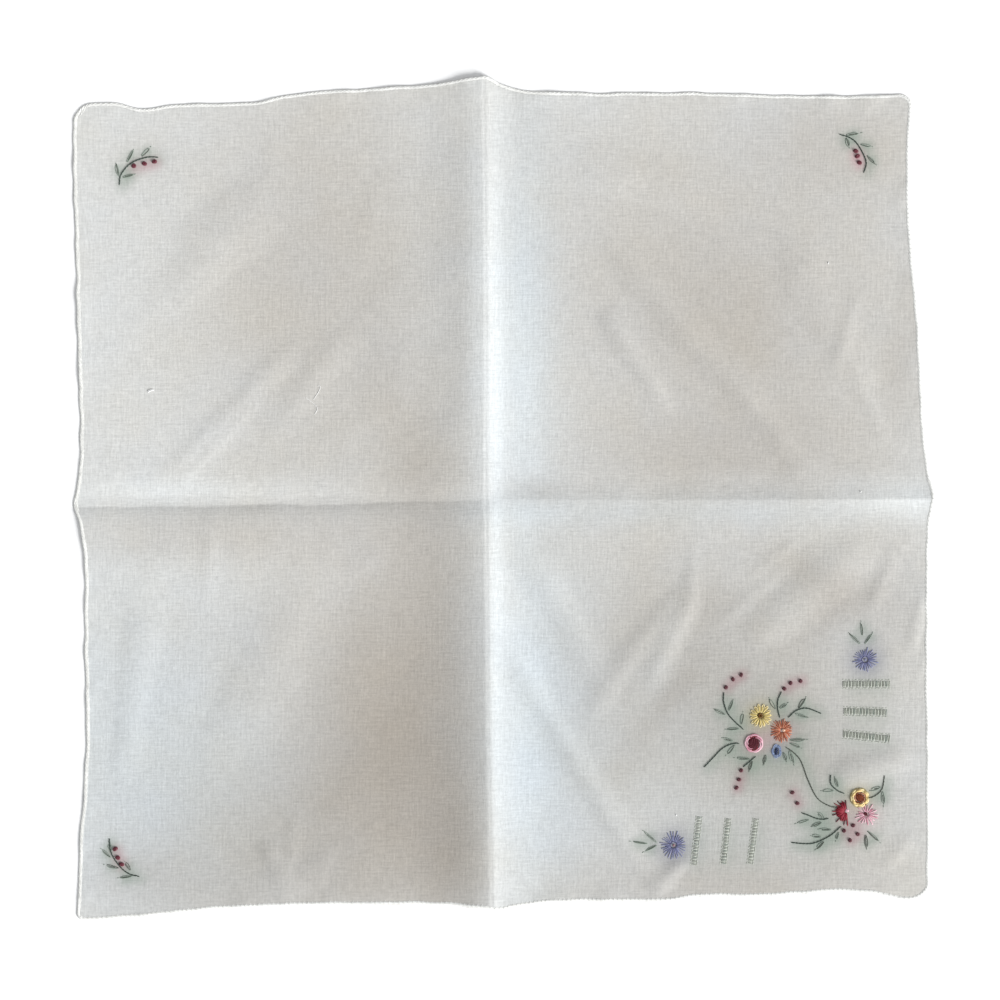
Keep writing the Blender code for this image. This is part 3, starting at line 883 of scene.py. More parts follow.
def stem_stitch(stem):
    """Short slanting stitches, each starting beside the middle of the last, as a fine rope along a line."""
    route = smooth_route(stem.path, 0.2)
    run = lengths(route)
    strands = []
    start = 0.0
    while start < run[-1] - STITCH_ADVANCE / 2:
        end = min(start + STITCH_LENGTH, run[-1])
        part = [point for point, at in zip(route, run) if start <= at <= end]
        if len(part) > 2:
            count = len(part) - 1
            shifted = []
            for i, point in enumerate(part):
                way = (part[min(i + 1, count)] - part[max(i - 1, 0)]).normalized()
                side = across(way)
                shifted.append(point + side * stem.radius * STITCH_SLANT * (1 - 2 * i / count))
            strands += laid([shifted[0], shifted[count // 2], shifted[-1]], stem.radius, stem.colour)
        start += STITCH_ADVANCE
    return strands


def chain_loop(base, tip, width, radius, colour):
    """A detached chain stitch: a loop from the base to the tip and back, widest near the tip."""
    way = (tip - base).normalized()
    side = across(way) * width / 2
    belly = base.lerp(tip, LOOP_WIDEST)
    route = (base + side * LOOP_FOOT, belly + side, tip, belly - side, base - side * LOOP_FOOT)
    return laid(route, radius, colour, plies=1)


def leaf(shape, chance, fullness=1.0, reach_in=0.0):
    """Two loose curved stitches that meet near the tip, with a finer one along the middle of most leaves."""
    base, tip = Vector((shape.base_x, shape.base_y)), Vector((shape.tip_x, shape.tip_y))
    along = tip - base
    way = along.normalized()
    side = across(way)
    strands = []
    for hand in (-1, 1):
        bow = side * hand * chance.uniform(0.22, 0.58) * fullness
        start = base - way * reach_in + side * hand * chance.uniform(0.0, 0.15)
        end = tip - along * chance.uniform(0.0, 0.22) + side * hand * chance.uniform(-0.05, 0.20)
        tone = "link_green" if chance.random() < 0.18 else "leaf_green"
        route = (start, start + along * 0.3 + bow * 0.8, start + along * 0.62 + bow, end)
        strands += laid(route, LEAF_THREAD, tone, plies=1)
    if chance.random() < 0.8:
        begin = base + along * chance.uniform(0.0, 0.25)
        finish = base + along * chance.uniform(0.6, 1.1) + side * chance.uniform(-0.15, 0.15)
        strands += laid((begin, finish), VEIN_THREAD, "link_green", plies=1)
    tip_stitch = (tip - way * 0.4, tip + way * chance.uniform(0.2, 0.7))
    strands += laid(tip_stitch, VEIN_THREAD, "leaf_green", plies=1)
    return strands


def french_knot(spot, colour, chance, size=1.0, rise=0.0):
    """Thread wound twice round the needle and drawn down in its own middle, a little pulled to one side."""
    start = chance.uniform(0, 2 * math.pi)
    pull = chance.uniform(0, math.pi)
    long_way = Vector((math.cos(pull), math.sin(pull)))
    short_way = across(long_way)
    stretch = chance.uniform(1.0, 1.25)
    middle = Vector((spot.x, spot.y))
    points, radii = [], []
    for i in range(KNOT_STEPS + 1):
        share = i / KNOT_STEPS
        angle = start + 2 * math.pi * KNOT_TURNS * share
        reach = size * (KNOT_REACH - KNOT_CLOSING * share)
        long_part = long_way * reach * stretch * math.cos(angle)
        short_part = short_way * reach / stretch * math.sin(angle)
        place = middle + long_part + short_part
        points.append(on_cloth(place.x, place.y, rise + size * (KNOT_HEIGHT + KNOT_CLIMB * share)))
        radii.append(size * KNOT_THREAD * MM)
    points.append(on_cloth(spot.x, spot.y, rise + size * KNOT_HEART_HEIGHT))
    radii.append(size * KNOT_HEART_THREAD * MM)
    return [Strand(points, radii, colour)]


def rays(
    x, y, inner, outer, count, colours, radius, chance,
    start=0.0, sweep=360.0, loop_width=0.0, rise=0.0, ragged=0.08,
):
    """Straight stitches, or chain loops if they have a width, set round a middle as petals."""
    strands = []
    middle = Vector((x, y))
    gaps = count if sweep == 360.0 else count - 1
    for i in range(count):
        turn = math.radians(start + sweep * i / gaps + chance.uniform(-3, 3))
        way = Vector((math.cos(turn), math.sin(turn)))
        base = middle + way * inner * chance.uniform(0.9, 1.15)
        tip = middle + way * outer * chance.uniform(0.98 - ragged, 1.06)
        colour = colours[i % len(colours)]
        if loop_width:
            strands += chain_loop(base, tip, loop_width, radius, colour)
        else:
            strands += laid((base, tip), radius * chance.uniform(0.88, 1.1), colour, plies=1, rise=rise)
    return strands


def satin(x, y, half_width, half_height, radius, colour, rise, heading):
    """Parallel stitches side by side over an oval, padded in the middle."""
    strands = []
    count = max(3, round(2 * half_width / (radius * 1.5)))
    turn = math.radians(heading)
    widthways = Vector((math.cos(turn), math.sin(turn)))
    along = across(widthways)
    for i in range(count):
        share = (2 * i + 1) / count - 1
        half = half_height * math.sqrt(1 - share * share)
        if half > radius:
            middle = Vector((x, y)) + widthways * share * half_width
            route = (middle - along * half, middle + along * half)
            strands += laid(route, radius, colour, rise=rise * (1 - share * share))
    return strands


def whorl(x, y, outer, inner, count, radius, colours, reach, chance, rise=0.0, stretch=1.0):
    """A ring of curved stitches that each slip under the next, as the petals of a worked rose.

    With a stretch it is an upright oval.
    """
    strands = []
    middle = Vector((x, y))
    for i in range(count):
        first = 2 * math.pi * i / count + chance.uniform(-0.08, 0.08)
        route = []
        for share in (0.0, 0.33, 0.67, 1.0):
            angle = first + math.radians(reach) * share
            bulge = math.sin(math.pi * share) * 0.25
            distance = outer + (inner - outer) * share + bulge
            route.append(middle + Vector((math.cos(angle), math.sin(angle) * stretch)) * distance)
        strands += laid(route, radius, colours[i % len(colours)], plies=1, rise=rise)
    return strands


# Flower heads of the spray


def yellow_daisy(chance):
    """Pale yellow loops over yellow stitches, with olive stitches between them as painted shade, and an ochre
    heart.
    """
    x, y = 99.5, -77.9
    # Painted shade: olive stitches in the gaps between the petals
    strands = rays(x, y, 0.8, 3.7, 15, ("ochre_shade",), 0.15, chance, start=16)
    strands += rays(x, y, 0.9, 3.9, 15, ("yellow",), 0.26, chance, start=4)
    strands += rays(x, y, 1.0, 4.1, 15, ("pale_yellow",), 0.16, chance, start=4, loop_width=0.8)
    return strands + rays(99.4, -77.8, 0.0, 1.15, 8, ("ochre",), 0.30, chance, rise=0.2)


def orange_daisy(chance):
    """Two rounds of fine rays in three oranges, with a peach knot."""
    x, y = 107.3, -83.2
    colours = ("orange", "coral", "deep_orange")
    strands = rays(x, y, 0.6, 4.4, 32, colours, 0.18, chance, ragged=0.16)
    strands += rays(x, y, 0.6, 3.0, 22, colours, 0.19, chance, start=7, rise=0.08)
    return strands + french_knot(Knot(107.8, -83.1), "peach", chance, 0.75, rise=0.25)


def crimson_rose(chance):
    """A dark crimson heart in satin stitch, with three rings of pink petals round it."""
    x, y = 97.1, -87.8
    strands = satin(97.0, y, 2.15, 2.15, 0.26, "dark_crimson", rise=0.2, heading=62)
    strands += whorl(x, y, 3.10, 2.80, 7, 0.23, ("pale_pink", "pink", "pale_pink"), 78, chance)
    strands += whorl(x, y, 2.88, 2.50, 8, 0.19, ("pink", "pale_pink"), 80, chance, rise=0.08)
    return strands + whorl(x, y, 2.50, 1.90, 6, 0.18, ("pink", "crimson", "pale_pink"), 84, chance, rise=0.12)


def blue_oval(chance):
    """Three upright oval rings in blues round a navy heart."""
    strands = []
    for reach, colour in ((1.52, "blue"), (1.22, "light_blue"), (0.94, "blue")):
        colours = (colour, "light_blue")
        strands += whorl(105.3, -90.7, reach, reach * 0.90, 5, 0.17, colours, 88, chance, stretch=1.46)
    return strands + satin(105.2, -90.7, 0.5, 1.5, 0.23, "navy", rise=0.2, heading=-6)


def crimson_fan(chance):
    """Half a flower: crimson rays spread to the left, from a pale pink knot."""
    y = -112.5
    strands = rays(
        130.6, y, 0.4, 5.3, 12, ("dark_crimson", "crimson"), 0.20, chance, start=96, sweep=178, ragged=0.22
    )
    strands += rays(
        130.3, y, 0.3, 3.9, 14, ("crimson",), 0.36, chance, start=100, sweep=166, rise=0.06, ragged=0.14
    )
    return strands + french_knot(Knot(130.8, -112.1), "pale_pink", chance, 0.8, rise=0.2)


def gold_ring(chance):
    """A rust heart in satin stitch, with gold and pale yellow rings of thick thread round it."""
    x, y = 135.4, -107.5
    strands = satin(x, y, 1.45, 1.45, 0.25, "rust", rise=0.2, heading=-35)
    # Painted shadow: a thin olive ring round the outer edge
    strands += whorl(x, y, 3.35, 3.2, 8, 0.12, ("ochre_shade",), 50, chance)
    strands += whorl(x, y, 2.45, 2.45, 6, 0.50, ("gold",), 66, chance, rise=-0.1)
    strands += whorl(x, y, 3.00, 2.75, 7, 0.36, ("pale_yellow",), 60, chance)
    strands += whorl(x, y, 2.35, 2.10, 7, 0.26, ("gold", "pale_yellow"), 60, chance, rise=0.12)
    return strands + whorl(x, y, 1.75, 1.55, 5, 0.20, ("coral", "rust"), 80, chance, rise=0.12)


def pink_daisy(chance):
    """Loose pale pink rays with a small dark crimson heart."""
    x, y = 137.8, -113.6
    strands = rays(x, y, 0.7, 4.4, 18, ("pale_pink", "pale_pink", "pink"), 0.18, chance, ragged=0.24)
    strands += rays(x, y, 0.7, 3.0, 11, ("pink",), 0.14, chance, start=12)
    return strands + satin(137.5, -113.4, 0.55, 1.1, 0.25, "dark_crimson", rise=0.15, heading=50)


def blue_flower(flower, chance):
    """Fine blue rays in two lengths round a dark ring and a small knot."""
    x, y, reach = flower.x, flower.y, flower.radius
    colours = ("periwinkle", "light_violet", "periwinkle")
    strands = rays(x, y, 1.0, reach, 28, colours, 0.15, chance, ragged=0.2)
    strands += rays(x, y, 0.9, reach * 0.66, 20, ("violet", "periwinkle"), 0.15, chance, start=8)
    strands += whorl(x, y, 1.15, 0.95, 5, 0.15, ("violet",), 80, chance, rise=0.1)
    return strands + french_knot(flower, flower.heart, chance, 0.55, rise=0.1)


def ladder_stitches(row, chance):
    """A drawn-thread row: grey-green bars joined at alternate ends, pale bundles between, and pale edges."""
    start, end = Vector((row.start_x, row.start_y)), Vector((row.end_x, row.end_y))
    way = (end - start).normalized()
    side = across(way) * row.height / 2
    pitch = (end - start).length / row.bars
    strands = []
    for i in range(row.bars + 1):
        middle = start + way * pitch * i
        lean = way * chance.uniform(-0.14, 0.14)
        tone = "ladder_dark" if chance.random() < 0.8 else "leaf_green"
        short = chance.uniform(0.84, 1.0)
        strands += laid((middle - side * short + lean, middle + side * short - lean), LADDER_BAR, tone, plies=1)
        if i < row.bars:
            joint = middle + side * (1 if i % 2 else -1)
            strands += laid((joint, joint + way * pitch), LADDER_LINK, "ladder_dark", plies=1)
            bar = middle + way * pitch / 2
            strands += laid((bar - side * 0.9, bar + side * 0.9), LADDER_BUNDLE, "ladder_pale", plies=1)
        for edge in (-1.15, 1.15):
            spot = middle + side * edge
            reach = way * pitch * 0.4
            strands += laid((spot - reach, spot + reach), LADDER_EDGE, "ladder_pale", plies=1)
    return strands


# What shows through the sheer cloth round the stitches, and painted shade round the flower heads

Halo = namedtuple("Halo", "x y radius colour strength")
HALO_OFFSET = Vector((1.1, -0.9))
# Painted shade: the dusky pink, dusky blue and olive halos here darken the cloth round the flower heads
FLOWER_HALOS = table(
    Halo,
    (97.2, -88.0, 4.4, "rose_shade", 0.62), (102.0, -86.5, 3.4, "pink", 0.18),
    (105.8, -91.2, 3.0, "dusk_blue", 0.60), (107.5, -83.4, 5.0, "rose_shade", 0.55),
    (99.6, -78.0, 4.8, "ochre_shade", 0.70), (129.6, -112.5, 4.6, "rose_shade", 0.34),
    (132.5, -119.5, 4.4, "rose_shade", 0.16), (138.2, -113.9, 4.2, "pink", 0.26),
    (135.4, -107.5, 4.4, "ochre_shade", 0.50), (96.0, -84.0, 13.0, "leaf_green", 0.24),
    (109.0, -88.0, 12.0, "leaf_green", 0.24), (96.0, -97.0, 7.0, "leaf_green", 0.34),
    (93.0, -92.5, 4.0, "leaf_green", 0.26), (107.0, -97.0, 5.0, "leaf_green", 0.22),
    (122.5, -121.5, 5.5, "leaf_green", 0.24), (121.5, -118.5, 9.0, "leaf_green", 0.30),
    (132.0, -110.0, 12.0, "leaf_green", 0.15),
)


def halos():
    """Soft tints beside the embroidery, from thread ends and crossings behind the cloth, and painted shade
    round the flower heads.
    """
    spots = []
    twigs = TWIGS.values()
    stems = [stem.path for stem in UPPER_STEMS + LOWER_STEMS] + [twig.stem for twig in twigs]
    for path in stems:
        for point in smooth_route(path, 1.5):
            spots.append(Halo(point.x + HALO_OFFSET.x, point.y + HALO_OFFSET.y, 2.3, "leaf_green", 0.18))
    leaves = list(UPPER_LEAVES + LOWER_LEAVES)
    leaves += [shape for twig in twigs for shape in twig.leaves]
    leaves += [shape for flower in BLUE_FLOWERS for shape in flower.leaves]
    for shape in leaves:
        x, y = (shape.tip_x + shape.base_x) / 2, (shape.tip_y + shape.base_y) / 2
        spots.append(Halo(x + 0.3, y - 0.3, 2.3, "leaf_green", 0.58))
    for knot in SPRAY_KNOTS:
        spots.append(Halo(knot.x + 0.5, knot.y - 0.2, 2.1, "rose_shade", 0.58))
    for knot in [knot for twig in twigs for knot in twig.knots]:
        spots.append(Halo(knot.x + 0.3, knot.y - 0.5, 2.2, "dim_pink", 0.52))
    # Painted shade: a wide dusky blue rim round each blue flower
    for flower in BLUE_FLOWERS:
        spots.append(Halo(flower.x + 0.3, flower.y - 0.2, 6.4, "dusk_blue", 0.72))
    spots += FLOWER_HALOS
    for row in SIDE_LADDERS + LOWER_LADDERS:
        for share in (0.1, 0.3, 0.5, 0.7, 0.9):
            x = row.start_x + (row.end_x - row.start_x) * share
            y = row.start_y + (row.end_y - row.start_y) * share
            spots.append(Halo(x + 1.0, y - 1.5, 4.0, "leaf_green", 0.13))
    return spots


# Painted shade and painted light: the cloth's colour is painted greyer where the sheer cloth stands off what it
# lies on or lies beside a fold, and lighter where it turns to the window. Middle, half length and half width in
# millimetres, heading in degrees, and the share of light that is lost there (less than nothing for painted
# light)
Shade = namedtuple("Shade", "x y long wide heading loss")
SHADES = table(
    Shade,
    (-54, 84, 84, 40, 88, 0.20), (-88, 80, 80, 36, 88, 0.10), (-26, -78, 72, 36, 92, 0.38),
    (-56, -88, 46, 26, 90, 0.12), (-78, -122, 58, 34, 6, 0.26), (-92, -58, 44, 34, 0, 0.10),
    (-90, -144, 60, 16, 0, 0.12), (-12, -128, 28, 14, 90, 0.20), (88, 78, 96, 78, 0, 0.22),
    (130, 130, 34, 20, 0, 0.14), (92, 58, 46, 34, -42, 0.10), (88, 20, 56, 14, 2, 0.15),
    (98, 12, 56, 5, 0, 0.05), (148, 48, 18, 5, 90, 0.10), (-36, 40, 30, 11, 90, 0.08),
    (-124, 122, 12, 10, 0, 0.08), (94, -78, 84, 66, 0, 0.22), (82, -60, 52, 34, -50, 0.12),
    (112, -94, 34, 22, -40, 0.12), (124, -40, 18, 8, 55, 0.16), (52, -42, 28, 9, 62, 0.06),
    (66, -51, 18, 5, 72, -0.07), (69, -69, 17, 5, 52, 0.12), (48, -66, 14, 6, 58, 0.08),
    (52, -92, 16, 8, 60, 0.08), (120, -112, 44, 24, -20, 0.06), (114, -24, 18, 7, -24, 0.10),
    (132, -36, 16, 8, -10, 0.09), (80, -38, 10, 8, 60, 0.09), (22, -16, 9, 6, 90, 0.09),
    (-126, -134, 16, 8, 0, 0.10), (84, -140, 64, 16, 0, 0.22), (146, -34, 26, 12, 80, 0.12),
    (154, 62, 30, 5, 88, 0.08), (-22, 2, 34, 13, 90, 0.17), (-104, -13, 58, 10, 0, 0.17),
    (-104, 4, 52, 5, 0, -0.13), (153, 1, 18, 8, 0, -0.26), (12, -82, 68, 14, 90, -0.27),
    (14, 48, 52, 14, 90, -0.16), (4.0, 0, 160, 2.8, 90, -0.13), (18, 3, 13, 6, 0, 0.18),
    (-3, 74, 78, 4, 90, -0.15),
)
# The share that plain cloth gives back, and how much more of one colour than another a shade takes
PLAIN_SHARE = 0.885
SHADE_WARMTH = (0.82, 0.97, 1.12)

# Where the cloth turns to the window its light is bluer: places as above, and the share that red loses
# and blue gains
CoolPlace = namedtuple("CoolPlace", "x y long wide heading share")
COOL_PLACES = table(
    CoolPlace,
    (16, -84, 68, 22, 90, 0.056), (13, 70, 74, 12, 90, 0.056), (-88, -116, 40, 48, 0, 0.030),
    (-132, -92, 62, 46, 90, 0.048), (66, -4, 84, 6, 0, 0.034), (80, -90, 66, 54, 0, 0.036),
)


def plan_places(mesh):
    """The mesh's points in millimetres of the plan, one row for each."""
    places = np.zeros(len(mesh.vertices) * 3)
    mesh.vertices.foreach_get("co", places)
    return (places.reshape(-1, 3)[:, :2] - np.array(SHIFT[:2])) / MM


def soft_patch(places, patch):
    """How much of a soft oval patch lies over each place, 1 at its middle."""
    heading = math.radians(patch.heading)
    dx, dy = places[:, 0] - patch.x, places[:, 1] - patch.y
    along = (dx * math.cos(heading) + dy * math.sin(heading)) / patch.long
    aside = (dy * math.cos(heading) - dx * math.sin(heading)) / patch.wide
    return np.exp(-(along**2) - aside**2)


def paint_shade_and_light(mesh):
    """Writes the painted shade and painted light, how much of each colour comes back from each point, to an
    attribute.
    """
    places = plan_places(mesh)
    kept = np.full((len(places), 4), PLAIN_SHARE)
    # Painted shade, and painted light where a loss is below nothing
    for shade in SHADES:
        loss = shade.loss * soft_patch(places, shade)
        kept[:, :3] *= 1 - loss[:, None] * np.array(SHADE_WARMTH)
    # Painted light: bluer where the cloth turns to the window
    for place in COOL_PLACES:
        share = place.share * soft_patch(places, place)
        kept[:, :3] *= 1 + share[:, None] * np.array((-1.0, 0.0, 1.0))
    layer = mesh.attributes.new("painted_shade_and_light", "FLOAT_COLOR", "POINT")
    layer.data.foreach_set("color", kept.ravel())


def paint_show_through(mesh):
    """Writes each point's show-through tint and painted shade, and how strong they are, to an attribute."""
    places = plan_places(mesh)
    weight = np.zeros(len(places))
    colour = np.zeros((len(places), 3))
    clear = np.ones(len(places))
    for spot in halos():
        away = np.hypot(places[:, 0] - spot.x, places[:, 1] - spot.y) / spot.radius
        strength = spot.strength * np.exp(-away * away)
        weight += strength
        colour += strength[:, None] * np.array(thread_colour(spot.colour))
        clear *= 1 - strength
    colour /= np.maximum(weight, 1e-9)[:, None]
    values = np.concatenate([colour, (1 - clear)[:, None]], axis=1)
    layer = mesh.attributes.new("show_through", "FLOAT_COLOR", "POINT")
    layer.data.foreach_set("color", values.ravel())


# Operators: one for each piece or group of like pieces, and one for the stage


FACE_ORDER_STEP = 1e7


def face_order(face):
    """Rank of a face in its mesh: by its first point, then by all its points."""
    points = [vert.index for vert in face.verts]
    return min(points) * FACE_ORDER_STEP + sum(points)


class HANKY_OT_cloth(bpy.types.Operator):
    """Lay the sheet of linen in its creases and waves"""

    bl_idname = "hanky.cloth"
    bl_label = "Cloth"

    def execute(self, context):
        columns, rows = stations(LEFT, RIGHT), stations(BOTTOM, TOP)
        sheet = bmesh.new()
        bmesh.ops.create_grid(sheet, x_segments=len(columns) - 1, y_segments=len(rows) - 1, size=0.5)
        for vert in sheet.verts:
            column = round((vert.co.x + 0.5) * (len(columns) - 1))
            row = round((vert.co.y + 0.5) * (len(rows) - 1))
            vert.co = cloth_point(columns[column], rows[row])
        made = bmesh.ops.extrude_face_region(sheet, geom=list(sheet.faces))
        upper = [item for item in made["geom"] if isinstance(item, bmesh.types.BMVert)]
        bmesh.ops.translate(sheet, verts=upper, vec=(0, 0, context.scene.hanky_linen.thickness))
        bmesh.ops.recalc_face_normals(sheet, faces=sheet.faces)
        sheet.verts.index_update()
        sheet.faces.sort(key=face_order)
        mesh = bpy.data.meshes.new("linen_cloth")
        sheet.to_mesh(mesh)
        sheet.free()
        mesh.shade_smooth()
        cloth_surface.cache_clear()
        paint_shade_and_light(mesh)
        paint_show_through(mesh)
        linen = context.scene.hanky_linen
        mesh.materials.append(linen_material("fine_linen", linen.cool, linen.warm, tinted=True))
        cloth = finish_piece("linen_cloth", mesh)
        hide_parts(NODE)
        return {"FINISHED"}


# The hem's bead: step along it, sides of its section, its lumps, and how many half heights it is raised
HEM_STEP = 0.0009
HEM_SIDES = 10
HEM_LUMP = 0.16
HEM_LUMP_LENGTH = 0.0016
HEM_SEAT = 0.92

# A whip stitch over it: insets from the cloth's edge in hem radii, then heights in the bead's half heights
WHIP_INNER, WHIP_CROWN, WHIP_OUTER = 2.5, 1.0, 0.05
CLIMB_HEIGHT, CROWN_HEIGHT, OVER_HEIGHT, OUTER_HEIGHT = 1.45, 1.98, 1.85, 0.9


def rim_plan(inset, step):
    """Plan points all round the cloth at an inset from its edge, from the lower left corner."""
    low_a, high_a = LEFT + inset, RIGHT - inset
    low_b, high_b = BOTTOM + inset, TOP - inset
    corners = ((low_a, low_b), (high_a, low_b), (high_a, high_b), (low_a, high_b))
    points = []
    for (a, b), (next_a, next_b) in zip(corners, corners[1:] + corners[:1]):
        count = round(math.hypot(next_a - a, next_b - b) / step)
        points += [(a + (next_a - a) * i / count, b + (next_b - b) * i / count) for i in range(count)]
    return points


class HANKY_OT_rolled_hem(bpy.types.Operator):
    """Roll the edge of the cloth into a fine bead"""

    bl_idname = "hanky.rolled_hem"
    bl_label = "Rolled hem"

    def execute(self, context):
        linen = context.scene.hanky_linen
        rise = linen.hem_radius * linen.hem_flatness
        outline = bpy.data.curves.new("hem_outline", "CURVE")
        ring = outline.splines.new("POLY")
        ring.points.add(HEM_SIDES - 1)
        ring.use_cyclic_u = True
        for i, point in enumerate(ring.points):
            turn = 2 * math.pi * i / HEM_SIDES
            point.co = (linen.hem_radius * math.cos(turn), rise * math.sin(turn), 0.0, 1.0)
        section = bpy.data.objects.new("hem_outline", outline)
        curve = bpy.data.curves.new("rolled_hem", "CURVE")
        curve.dimensions = "3D"
        curve.twist_mode = "Z_UP"
        curve.bevel_mode = "OBJECT"
        curve.bevel_object = section
        spline = curve.splines.new("POLY")
        plan = rim_plan(linen.hem_radius, HEM_STEP)
        spline.points.add(len(plan) - 1)
        spline.use_cyclic_u = True
        for point, (a, b) in zip(spline.points, plan):
            point.co = (*cloth_point(a, b, rise * HEM_SEAT), 1.0)
            point.radius = 1.0 + HEM_LUMP * noise.noise(Vector((a, b, 0.0)) / HEM_LUMP_LENGTH)
        mesh = swept_mesh("rolled_hem", curve)
        bpy.data.objects.remove(section)
        bpy.data.curves.remove(outline)
        mesh.materials.append(linen_material("rolled_linen", linen.hem_colour, linen.hem_colour, tinted=False))
        finish_piece("rolled_hem", mesh)
        return {"FINISHED"}


class HANKY_OT_hem_stitches(bpy.types.Operator):
    """Whip the rolled hem down with fine slanting stitches"""

    bl_idname = "hanky.hem_stitches"
    bl_label = "Hem stitches"

    def execute(self, context):
        linen = context.scene.hanky_linen
        hem, thread = linen.hem_radius, linen.whip_radius
        rise = hem * linen.hem_flatness
        inner = rim_plan(hem * WHIP_INNER, linen.whip_pitch)
        crown = rim_plan(hem * WHIP_CROWN, linen.whip_pitch)
        outer = rim_plan(hem * WHIP_OUTER, linen.whip_pitch)
        strands = []
        for i, (a, b) in enumerate(inner):
            top, down = crown[(i + i // len(crown)) % len(crown)], outer[(i + 1) % len(outer)]
            halfway = ((top[0] + down[0]) / 2, (top[1] + down[1]) / 2)
            route = [
                cloth_point(a, b, linen.thickness - thread),
                cloth_point((a + top[0]) / 2, (b + top[1]) / 2, rise * CLIMB_HEIGHT),
                cloth_point(*top, rise * CROWN_HEIGHT),
                cloth_point(*halfway, rise * OVER_HEIGHT),
                cloth_point(*down, rise * OUTER_HEIGHT),
            ]
            strands.append(Strand(route, [thread] * len(route), "white"))
        thread_piece("hem_stitches", strands)
        return {"FINISHED"}


class HANKY_OT_stems(bpy.types.Operator):
    """Work the stems of the spray in stem stitch"""

    bl_idname = "hanky.stems"
    bl_label = "Spray stems"

    def execute(self, context):
        thread_piece("spray_stems", worked(stem_stitch, UPPER_STEMS + LOWER_STEMS))
        return {"FINISHED"}


class HANKY_OT_leaves(bpy.types.Operator):
    """Work the leaves of the spray in loose curved stitches"""

    bl_idname = "hanky.leaves"
    bl_label = "Spray leaves"

    def execute(self, context):
        chance = random.Random(SEED)
        thread_piece("spray_leaves", worked(leaf, UPPER_LEAVES + LOWER_LEAVES, chance))
        return {"FINISHED"}


class HANKY_OT_flower_heads(bpy.types.Operator):
    """Work the seven flower heads of the spray"""

    bl_idname = "hanky.flower_heads"
    bl_label = "Flower heads"

    def execute(self, context):
        chance = random.Random(SEED)
        heads = {
            "yellow_daisy": yellow_daisy,
            "orange_daisy": orange_daisy,
            "crimson_rose": crimson_rose,
            "blue_oval": blue_oval,
            "crimson_fan": crimson_fan,
            "gold_ring": gold_ring,
            "pink_daisy": pink_daisy,
        }
        for name, work in heads.items():
            thread_piece(name, work(chance))
        return {"FINISHED"}


class HANKY_OT_knots(bpy.types.Operator):
    """Set the French knots of the spray"""

    bl_idname = "hanky.knots"
    bl_label = "French knots"

    def execute(self, context):
        chance = random.Random(SEED)
        thread_piece("spray_knots", worked(french_knot, SPRAY_KNOTS, "berry", chance))
        return {"FINISHED"}


class HANKY_OT_blue_flowers(bpy.types.Operator):
    """Work the two single blue flowers and their leaves"""

    bl_idname = "hanky.blue_flowers"
    bl_label = "Blue flowers"

    def execute(self, context):
        chance = random.Random(SEED)
        for name, flower in zip(("blue_flower_side", "blue_flower_lower"), BLUE_FLOWERS):
            strands = blue_flower(flower, chance)
            strands += worked(leaf, flower.leaves, chance, fullness=0.5, reach_in=0.6)
            thread_piece(name, strands)
        return {"FINISHED"}


class HANKY_OT_ladders(bpy.types.Operator):
    """Work the drawn-thread ladders"""

    bl_idname = "hanky.ladders"
    bl_label = "Drawn-thread ladders"

    def execute(self, context):
        chance = random.Random(SEED)
        for name, group in (("side_ladders", SIDE_LADDERS), ("lower_ladders", LOWER_LADDERS)):
            thread_piece(name, worked(ladder_stitches, group, chance))
        return {"FINISHED"}


class HANKY_OT_corner_twigs(bpy.types.Operator):
    """Work the berry twigs in the three plain corners"""

    bl_idname = "hanky.corner_twigs"
    bl_label = "Corner twigs"

    def execute(self, context):
        chance = random.Random(SEED)
        for name, twig in TWIGS.items():
            strands = stem_stitch(Stem(twig.stem))
            strands += worked(leaf, twig.leaves, chance)
            strands += worked(french_knot, twig.knots, "cherry", chance, size=1.15)
            thread_piece(f"twig_{name}", strands)
        return {"FINISHED"}


class HANKY_OT_lint(bpy.types.Operator):
    """Drop the few bits of white lint on the cloth"""

    bl_idname = "hanky.lint"
    bl_label = "Lint"

    def execute(self, context):
        strands = [strand for bit in LINT for strand in laid(bit.path, bit.radius, "lint_white", plies=1)]
        thread_piece("lint", strands)
        return {"FINISHED"}


class HANKY_OT_declare(bpy.types.Operator):
    bl_idname = "hanky.declare"
    bl_label = "Declare the sheet"

    def execute(self, context):
        return {"FINISHED"}


WINDOW_SIDE = math.radians(-37)
SKY_COLOUR = (0.97, 0.985, 1.0, 1.0)
FLOOR_SIZE = 6.0
SENSOR = 36.0

# The picture's middle lies 14.5 and 0.5 of its pixels from the crossing of the creases
PIXEL = 0.000362
VIEW_MIDDLE = (SHIFT.x + 14.5 * PIXEL, SHIFT.y + 0.5 * PIXEL)


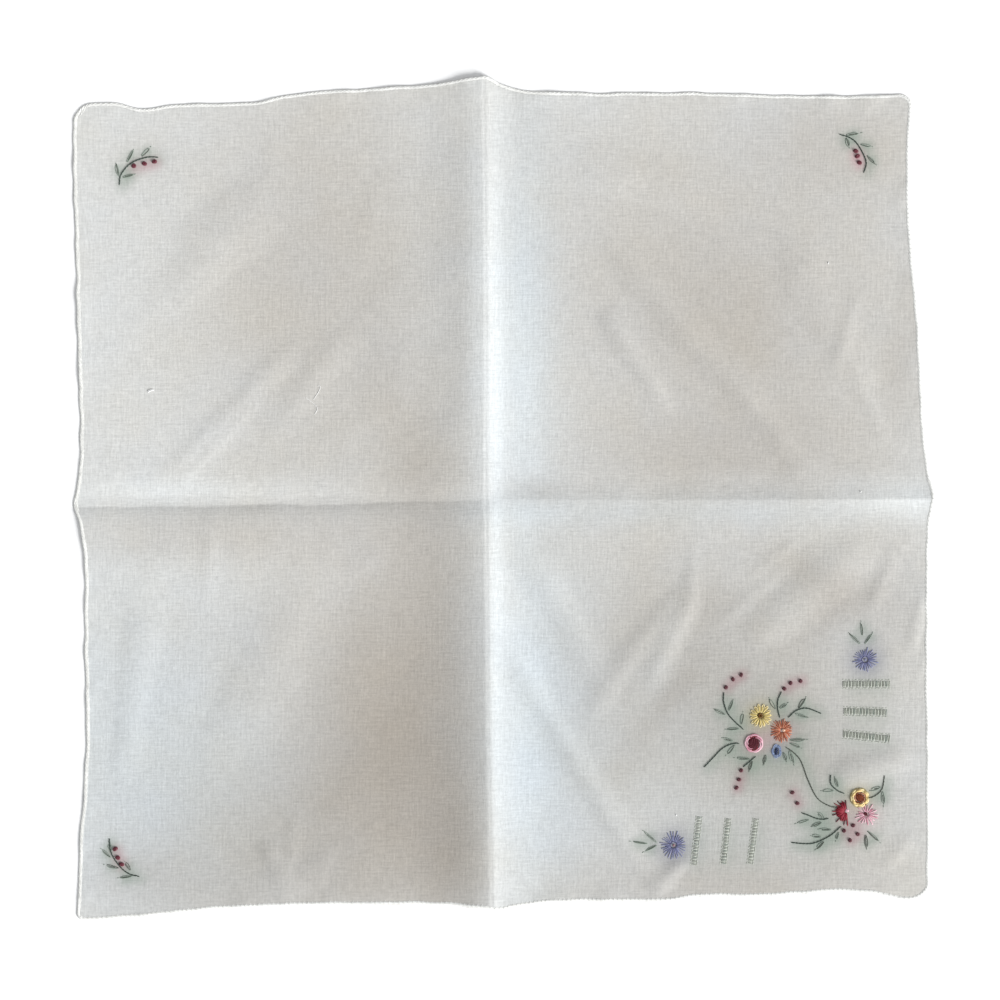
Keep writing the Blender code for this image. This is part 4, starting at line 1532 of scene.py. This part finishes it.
class HANKY_OT_stage(bpy.types.Operator):
    """Set the pale floor, the soft lights and the camera straight above"""

    bl_idname = "hanky.stage"
    bl_label = "Stage"

    def execute(self, context):
        stage = context.scene.hanky_stage
        floor = bmesh.new()
        bmesh.ops.create_grid(floor, x_segments=1, y_segments=1, size=FLOOR_SIZE / 2)
        mesh = bpy.data.meshes.new("floor")
        floor.to_mesh(mesh)
        floor.free()
        shader = Shader("pale_floor")
        shader.set(Base_Color=(*stage.floor, 1.0), Roughness=0.9, Specular_IOR_Level=0.1)
        mesh.materials.append(shader.material)
        floor = bpy.data.objects.new("floor", mesh)
        context.scene.collection.objects.link(floor)
        lamp = bpy.data.lights.new("window", "SUN")
        lamp.energy = stage.window
        lamp.angle = stage.window_softness
        window = bpy.data.objects.new("window", lamp)
        flat, up = math.cos(stage.window_height), math.sin(stage.window_height)
        towards = Vector((flat * math.cos(WINDOW_SIDE), flat * math.sin(WINDOW_SIDE), up))
        window.location = towards
        window.rotation_euler = (-towards).to_track_quat("-Z", "Y").to_euler()
        context.scene.collection.objects.link(window)
        world = bpy.data.worlds.new("soft_room")
        world.use_nodes = True
        background = world.node_tree.nodes["Background"]
        background.inputs["Color"].default_value = SKY_COLOUR
        background.inputs["Strength"].default_value = stage.sky
        context.scene.world = world
        context.scene.view_settings.view_transform = "Standard"
        camera = bpy.data.cameras.new("camera")
        camera.lens = stage.lens
        camera.sensor_width = SENSOR
        height = stage.view_width * stage.lens / SENSOR
        eye = bpy.data.objects.new("camera", camera)
        eye.location = (*VIEW_MIDDLE, height)
        context.scene.collection.objects.link(eye)
        context.scene.camera = eye
        return {"FINISHED"}


class HANKY_PT_panel(bpy.types.Panel):
    """The handkerchief's pieces and settings"""

    bl_label = "Handkerchief"
    bl_idname = "HANKY_PT_panel"
    bl_space_type = "VIEW_3D"
    bl_region_type = "UI"
    bl_category = "Handkerchief"

    def draw(self, context):
        for operator in STEPS:
            self.layout.operator(operator.bl_idname)
        for group in (context.scene.hanky_linen, context.scene.hanky_threads, context.scene.hanky_stage):
            for name in type(group).__annotations__:
                self.layout.prop(group, name)


STEPS = (
    HANKY_OT_cloth,
    HANKY_OT_rolled_hem,
    HANKY_OT_hem_stitches,
    HANKY_OT_stems,
    HANKY_OT_leaves,
    HANKY_OT_flower_heads,
    HANKY_OT_knots,
    HANKY_OT_blue_flowers,
    HANKY_OT_ladders,
    HANKY_OT_corner_twigs,
    HANKY_OT_lint,
    HANKY_OT_declare,
    HANKY_OT_stage,
)
GROUPS = {"hanky_linen": HankyLinen, "hanky_threads": HankyThreads, "hanky_stage": HankyStage}


def register():
    """Adds the settings, the operators and the panel."""
    for kind in (*GROUPS.values(), *STEPS, HANKY_PT_panel):
        bpy.utils.register_class(kind)
    for name, group in GROUPS.items():
        setattr(bpy.types.Scene, name, PointerProperty(type=group))


def unregister():
    """Takes the settings, the operators and the panel away again."""
    for name in GROUPS:
        delattr(bpy.types.Scene, name)
    for kind in (HANKY_PT_panel, *reversed(STEPS), *GROUPS.values()):
        bpy.utils.unregister_class(kind)


def main():
    """Works every step in order."""
    register()
    for operator in STEPS:
        area, name = operator.bl_idname.split(".")
        getattr(getattr(bpy.ops, area), name)()


if __name__ == "__main__":
    main()
